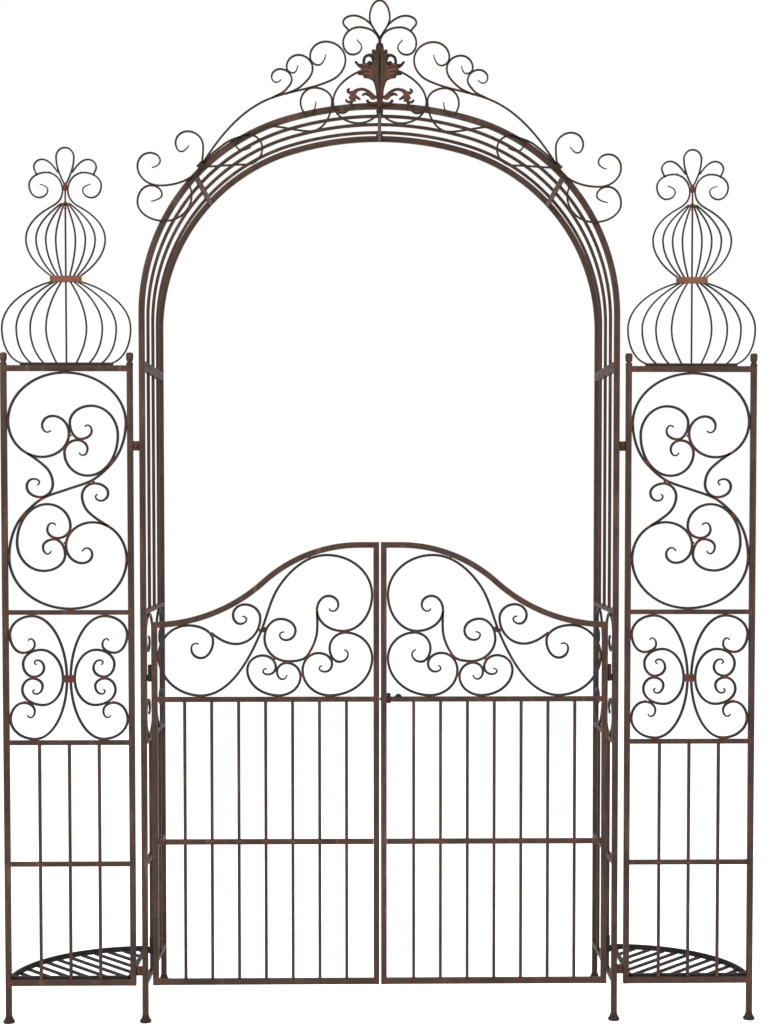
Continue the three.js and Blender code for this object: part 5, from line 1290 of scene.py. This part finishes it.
class ARCH_OT_cast_leaf(bpy.types.Operator):
    """Model the cast leaf and sprigs on the crest"""
    bl_idname = "arch.cast_leaf"
    bl_label = "Cast leaf"

    half_width: length("Half width", 0.28, "Half width that the leaf's shares are taken of")
    rise: length("Rise", 0.262, "Height that the leaf's shares are taken of")

    def execute(self, context):
        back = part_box("crown_leaf")[1][1]
        sheets = [Sheet(0, self.half_width, CROWN_Z, self.rise, mirror) for mirror in (1, -1)]
        ribs = [[(share * across, up, width) for across, up, width in LEAF_RIBS] for share in (-1, -0.35, 0.35, 1)]
        parts = [
            self.lobes("leaf_middle", LEAF_LOBES[:1], sheets[:1], 0, 0.0035, (0.0034, 0.0096)),
            self.lobes("leaf_sides", LEAF_LOBES[1:], sheets, 0.0006, 0.0032, (0.0034, 0.0074)),
            self.lobes("leaf_sprigs", SPRIG_LOBES, sheets, 0.001, 0.0032, (0.0028, 0.0054)),
            self.lobes("leaf_ribs", ribs, sheets[:1], 0.0058, 0.003, (0.0058, 0.008)),
        ]
        parts += [self.ball(sheet.point(across, up), radius) for across, up, radius in LEAF_BALLS for sheet in sheets]
        parts += [bands("leaf_ring", sheets[0].point(0, up), Band(width, height, RING_DEPTH, 1), out=LEAF_MIDDLE_Y)
                  for up, width, height in LEAF_RINGS]
        whole = moved(fuse(parts, "cast_leaf"), (0, back, 0))
        smooth(whole)
        spots = [(x, back, z) for sheet in sheets for x, z in placed(sheet, LEAF_RUST)]
        finish_piece(whole, "arch_frame", "cast", ["crown_leaf"], spots, CAST_RUST)
        return {"FINISHED"}

    def lobes(self, name, rows, sheets, proud, thick, painted_relief_shade):
        """Lobes swept from rows, their backs flat on the crest or proud of it, no thicker than asked to each side.
        The last argument gives how far the hollows with the darkest painted shade and the ridges with the lightest
        painted highlight stand proud of the crest."""
        piece = swept(name, [self.eased(row, sheet) for sheet in sheets for row in rows], LOBE)
        for vertex in piece.data.vertices:
            height = vertex.co.z
            vertex.co.z = thick * math.tanh(height / thick) if height > 0 else max(-thick, height)
        stand(piece)
        moved(piece, (0, -max(corner[1] for corner in piece.bound_box) - proud, 0))
        # Marks each point's depth, for painted shade in the hollows and a painted highlight on the ridges.
        hollow, ridge = painted_relief_shade
        layer = piece.data.attributes.new("painted_relief_shade", "FLOAT", "POINT")
        layer.data.foreach_set("value", [(-vertex.co.y - hollow) / (ridge - hollow) for vertex in piece.data.vertices])
        return piece

    def eased(self, row, sheet):
        """A smooth path with smooth widths through a row's places."""
        steps = 5  # from each place to the next
        places = [np.array((*sheet.point(across, up), width)) for across, up, width in row]
        ends = [2 * places[0] - places[1], *places, 2 * places[-1] - places[-2]]
        path = []
        for index in range(1, len(ends) - 2):
            before, start, end, after = ends[index - 1:index + 3]
            for step in range(steps + (index == len(ends) - 3)):
                part = step / steps
                path.append(start + 0.5 * part * (end - before + part * (
                    2 * before - 5 * start + 4 * end - after + part * (3 * (start - end) + after - before))))
        return [Vector((x, z)) for x, z, _ in path], [max(width, LEAST_LOBE) for _, _, width in path]

    def ball(self, place, radius):
        """A rounded tip, a little flattened."""
        clear_selection()
        bpy.ops.mesh.primitive_uv_sphere_add(segments=16, ring_count=10, radius=radius)
        tip = bpy.context.object
        tip.matrix_world = Matrix.Translation((place.x, LEAF_MIDDLE_Y, place.y)) @ Matrix.Diagonal((1, 0.9, 1, 1))
        return settle(tip)


# Corner shelves

ARC_STEPS = 60  # along the rim


class ARCH_OT_shelves(bpy.types.Operator):
    """Make the quarter round shelves behind the panels"""
    bl_idname = "arch.shelves"
    bl_label = "Corner shelves"

    rim: length("Rim", 0.008, "Thickness of the rim and the two straight rails")
    height: length("Height", 0.014, "Height of the rim")
    slat: length("Slat", 0.0072, "Side of a slat")
    proud: length("Proud", 0.0085, "How far the rim stands above the slats and beyond its place in the frame")
    sunk: length("Sunk", 0.0006, "How far the slats' faces lie below the node's top")
    slats: number("Slats", 11, "Slats across a corner")
    slope: bend("Slope", 48, "Between the slats and the panel")

    def execute(self, context):
        for side_name, side in SIDES.items():
            node = f"corner_shelf_{side_name}"
            low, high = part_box(node)
            corner_x = low[0] if side > 0 else high[0]
            half = self.rim / 2
            radius = high[0] - low[0] - half + self.proud
            turns = [QUARTER * index / ARC_STEPS for index in range(ARC_STEPS + 1)]
            arc = [Vector((side * radius * math.cos(turn), radius * math.sin(turn))) for turn in turns]
            rails = [[Vector((0, half)), Vector((side * radius, half))],
                     [Vector((side * half, 0)), Vector((side * half, radius))]]
            rim = swept("shelf_frame", [even(points, self.rim) for points in (arc, *rails)])
            rim.scale = (1, 1, self.height / self.rim)
            moved(rim, (corner_x, low[1], high[2] + self.proud - self.height / 2))
            slats = swept("shelf_slats", [even(points, self.slat) for points in self.slat_paths(side, radius, half)])
            moved(slats, (corner_x, low[1], high[2] - self.slat / 2 - self.sunk))
            whole = fuse([rim, slats], f"shelf_{side_name}")
            smooth(whole, FINE_CREASE)
            finish_piece(whole, "arch_frame", "tube", [node], look="scroll")
        return {"FINISHED"}

    def slat_paths(self, side, radius, half):
        """Ends of the slats, from the straight rails to the rim."""
        reach = radius * (math.sin(self.slope) + math.cos(self.slope))
        along = Vector((math.cos(self.slope), math.sin(self.slope)))
        across = Vector((-math.sin(self.slope), math.cos(self.slope)))
        paths = []
        for index in range(self.slats):
            offset = reach * (index + 1) / (self.slats + 1) - radius * math.cos(self.slope)
            base = across * offset
            start = base + along * max((half - base.x) / along.x, (half - base.y) / along.y)
            end = base + along * math.sqrt(radius * radius - offset * offset)
            paths.append([Vector((side * start.x, start.y)), Vector((side * end.x, end.y))])
        return paths


# Fittings

# Profiles of radius and height that pieces are turned from
FOOT_PROFILE = [(0, 0), (0.0143, 0), (0.015, 0.0007), (0.015, 0.0045), (0.0143, 0.0058), (0.0118, 0.0092),
                (0.0098, 0.0135), (0.0092, 0.0172), (0.0088, 0.018), (0, 0.018)]
KNOB_PROFILE = [(0, 0), (0.0082, 0), (0.0088, 0.0007), (0.0088, 0.0056), (0.0082, 0.0066), (0.0064, 0.008),
                (0.0062, 0.0094), (0.0076, 0.0112), (0.0088, 0.014), (0.0094, 0.019), (0.0095, 0.025),
                (0.009, 0.029), (0.0076, 0.0318), (0.0048, 0.0328), (0, 0.033)]
SCREW_PROFILE = [(0, 0), (0.0052, 0), (0.0056, 0.0012), (0.0046, 0.0034), (0.0022, 0.0044), (0, 0.0046)]
NUT_PROFILE = [(0, 0), (0.0056, 0), (0.0056, 0.004), (0, 0.004)]
FOOT_SIDES, KNOB_SIDES, SCREW_SIDES, NUT_SIDES = 40, 44, 28, 6


class ARCH_OT_feet_knobs(bpy.types.Operator):
    """Turn the feet and the knobs on the panel posts"""
    bl_idname = "arch.feet_knobs"
    bl_label = "Feet and knobs"

    def execute(self, context):
        foot = turned("foot", FOOT_PROFILE, FOOT_SIDES)
        nodes = [f"foot_{place}_{side_name}" for side_name in SIDES for place in ("front", "back", "panel")]
        self.row(foot, "turned_foot", nodes, "foot", FOOT_PROFILE[-1][1])
        knob = turned("knob", KNOB_PROFILE, KNOB_SIDES)
        nodes = [f"post_knob_{place}_{side_name}" for side_name in SIDES for place in ("inner", "outer")]
        self.row(knob, "turned_knob", nodes, "tube", 0)
        return {"FINISHED"}

    def row(self, source, name, nodes, slot, rust_up):
        """Copies of a turned piece where nodes stand, each with rust round it at one height."""
        spots = [(middle(node).x, middle(node).y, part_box(node)[0][2]) for node in nodes]
        for node, (x, y, z), piece in zip(nodes, spots, copies(source, name, spots)):
            finish_piece(piece, "arch_frame", slot, [node], [(x, y, z + rust_up)], TURNED_RUST)


class ARCH_OT_fittings(bpy.types.Operator):
    """Ease the hinges, the latch, the brackets and the crown bolts, and add their screws"""
    bl_idname = "arch.fittings"
    bl_label = "Hinges, latch and brackets"

    thick: length("Thick", 0.004, "Thickness of a bracket's tab")
    tall: length("Tall", 0.025, "Height of a bracket's tab")
    sunk: length("Sunk", 0.0002, "How far the screw's head and the nut start inside the tab")

    def execute(self, context):
        for side_name in SIDES:
            for level in ("lower", "upper"):
                self.hinge(side_name, level)
                self.bracket(side_name, level)
        finish_piece(softened("latch_bolt", BOLT_EDGE), "latch_bolt", "hinge", ["latch_bolt"])
        finish_piece(softened("latch_guide", GUIDE_EDGE), "right_leaf", "collar", ["latch_guide"], look="hinge")
        for place in ENDS:
            node = f"crown_bolt_{place}"
            finish_piece(softened(node, FINE_EDGE), "arch_frame", "hinge", [node])
        return {"FINISHED"}

    def hinge(self, side_name, level):
        """A pin on the arch and the barrel that a leaf turns on it with."""
        for part, body in (("pin", "arch_frame"), ("barrel", f"{side_name}_leaf")):
            node = f"hinge_{part}_{level}_{side_name}"
            low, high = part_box(node)
            ends = [(x, FRONT_Y, (low[2] + high[2]) / 2) for x in (low[0], high[0])]
            finish_piece(softened(node, FINE_EDGE), body, "hinge", [node], ends, HINGE_RUST)

    def bracket(self, side_name, level):
        """A tab with a screw through it and a nut behind."""
        node = f"panel_bracket_{level}_{side_name}"
        low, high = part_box(node)
        place = middle(node)
        half = Vector(((high[0] - low[0]) / 2, self.thick / 2, self.tall / 2))
        tab = moved(eased_bar(-half, half, TAB_EDGE), place)
        face = Vector((0, self.thick / 2 - self.sunk, 0))
        screw = moved(turned("screw", SCREW_PROFILE, SCREW_SIDES, (0, -1, 0.25)), place - face)
        nut = moved(turned("nut", NUT_PROFILE, NUT_SIDES, (0, 1, 0)), place + face)
        whole = fuse([tab, screw, nut], f"bracket_{level}_{side_name}")
        smooth(whole, FINE_CREASE)
        ends = [(x, place.y, place.z) for x in (low[0], high[0])]
        finish_piece(whole, "arch_frame", "collar", [node], ends, BRACKET_RUST, "bracket")


# Stage

# Each light's place, diameter and power, and the height that all of them look at
LIGHTS = {
    "key_light": ((-3.2, -4.4, 4.6), 3.4, 330),
    "fill_light": ((3.8, -3.8, 2.8), 3.2, 130),
    "top_light": ((0, 0.6, 5.2), 3.6, 150),
}
LIT_HEIGHT = 1.2
PICTURE_SIZE = 781, 1024
SKY = (0.9, 0.94, 1)
FLOOR_SIZE, FLOOR_DROP = 30, 0.0005
SENSOR_WIDTH, VIEW_END = 36, 60


class ARCH_OT_stage(bpy.types.Operator):
    """Set the floor, backdrop, lights and camera"""
    bl_idname = "arch.stage"
    bl_label = "Stage"

    lens: bpy.props.FloatProperty(name="Lens", default=80.64, description="Focal length in millimetres")
    distance: length("Distance", 4.542, "Camera to the arch's front")
    height: length("Height", 1.344, "Camera above the ground")
    aside: length("Aside", 0.0151, "Camera to the left of the arch's middle")
    tilt: bend("Tilt", 87.74, "Camera's tilt from looking straight down")
    pan: bend("Pan", -0.977, "Camera's turn to the left")
    shift: bpy.props.FloatVectorProperty(name="Shift", default=(-0.0173, 0.0835), size=2,
                                         description="Shift of the picture, in picture widths")

    def execute(self, context):
        scene = context.scene
        self.floor()
        self.world(scene)
        for name, (place, size, power) in LIGHTS.items():
            self.light(name, place, size, power)
        bpy.ops.object.camera_add(location=(-self.aside, FRONT_Y - self.distance, self.height),
                                  rotation=(self.tilt, 0, self.pan))
        scene.camera = context.object
        camera = scene.camera.data
        camera.sensor_fit = "HORIZONTAL"
        camera.sensor_width = SENSOR_WIDTH
        camera.lens = self.lens
        camera.shift_x, camera.shift_y = self.shift
        camera.clip_end = VIEW_END
        scene.render.resolution_x, scene.render.resolution_y = PICTURE_SIZE
        scene.view_settings.view_transform = "Standard"
        return {"FINISHED"}

    def floor(self):
        clear_selection()
        bpy.ops.mesh.primitive_plane_add(size=FLOOR_SIZE, location=(0, 0, -FLOOR_DROP))
        floor = bpy.context.object
        floor.name = "floor"
        bpy.ops.object.transform_apply(location=True, rotation=False, scale=True)
        finish = Finish("floor paint")
        finish.set({"Base Color": (0.86, 0.86, 0.86), "Roughness": 0.9, "Emission Color": (1, 1, 1),
                    "Emission Strength": 0.4})
        floor.data.materials.append(finish.material)

    def world(self, scene):
        """White where the camera looks, also through glass and in reflections, and a soft sky to light by."""
        world = bpy.data.worlds.new("studio")
        scene.world = world
        world.use_nodes = True
        nodes = Nodes(world.node_tree)
        nodes.tree.nodes.clear()
        rays = nodes.tree.nodes.new("ShaderNodeLightPath").outputs
        seen, through, glossy = (Value(nodes, rays[f"Is {kind} Ray"]) for kind in ("Camera", "Transmission", "Glossy"))
        sky = nodes.node("ShaderNodeBackground", inputs={"Color": SKY, "Strength": 0.75})
        white = nodes.node("ShaderNodeBackground", inputs={"Color": (1, 1, 1)})
        mix = nodes.node("ShaderNodeMixShader", inputs={0: seen.larger(through).larger(glossy), 1: sky, 2: white})
        nodes.feed(nodes.tree.nodes.new("ShaderNodeOutputWorld").inputs["Surface"], mix)

    def light(self, name, place, size, power):
        bpy.ops.object.light_add(type="AREA", location=place)
        light = bpy.context.object
        light.name = name
        light.data.shape = "DISK"
        light.data.size = size
        light.data.energy = power
        light.rotation_euler = (Vector((0, 0, LIT_HEIGHT)) - Vector(place)).to_track_quat("-Z", "Y").to_euler()


PIECES = (ARCH_OT_hoops, ARCH_OT_frames, ARCH_OT_leaf_frames, ARCH_OT_gate_scrolls, ARCH_OT_panel_scrolls,
          ARCH_OT_finials, ARCH_OT_crest, ARCH_OT_cast_leaf, ARCH_OT_shelves, ARCH_OT_feet_knobs,
          ARCH_OT_fittings, ARCH_OT_stage)


class ARCH_PT_panel(bpy.types.Panel):
    """Lists the steps that build the arch"""
    bl_idname = "ARCH_PT_panel"
    bl_label = "Garden arch"
    bl_space_type = "VIEW_3D"
    bl_region_type = "UI"
    bl_category = "Garden Arch"

    def draw(self, context):
        for piece in PIECES:
            self.layout.operator(piece.bl_idname)


CLASSES = (ArchSizes, ArchColours, *PIECES, ARCH_PT_panel)


def register():
    for each in CLASSES:
        bpy.utils.register_class(each)
    bpy.types.Scene.arch_sizes = bpy.props.PointerProperty(type=ArchSizes)
    bpy.types.Scene.arch_colours = bpy.props.PointerProperty(type=ArchColours)


def unregister():
    del bpy.types.Scene.arch_colours
    del bpy.types.Scene.arch_sizes
    for each in reversed(CLASSES):
        bpy.utils.unregister_class(each)


def main():
    register()
    make_finishes()
    for piece in PIECES:
        group, name = piece.bl_idname.split(".")
        getattr(getattr(bpy.ops, group), name)()


if __name__ == "__main__":
    main()
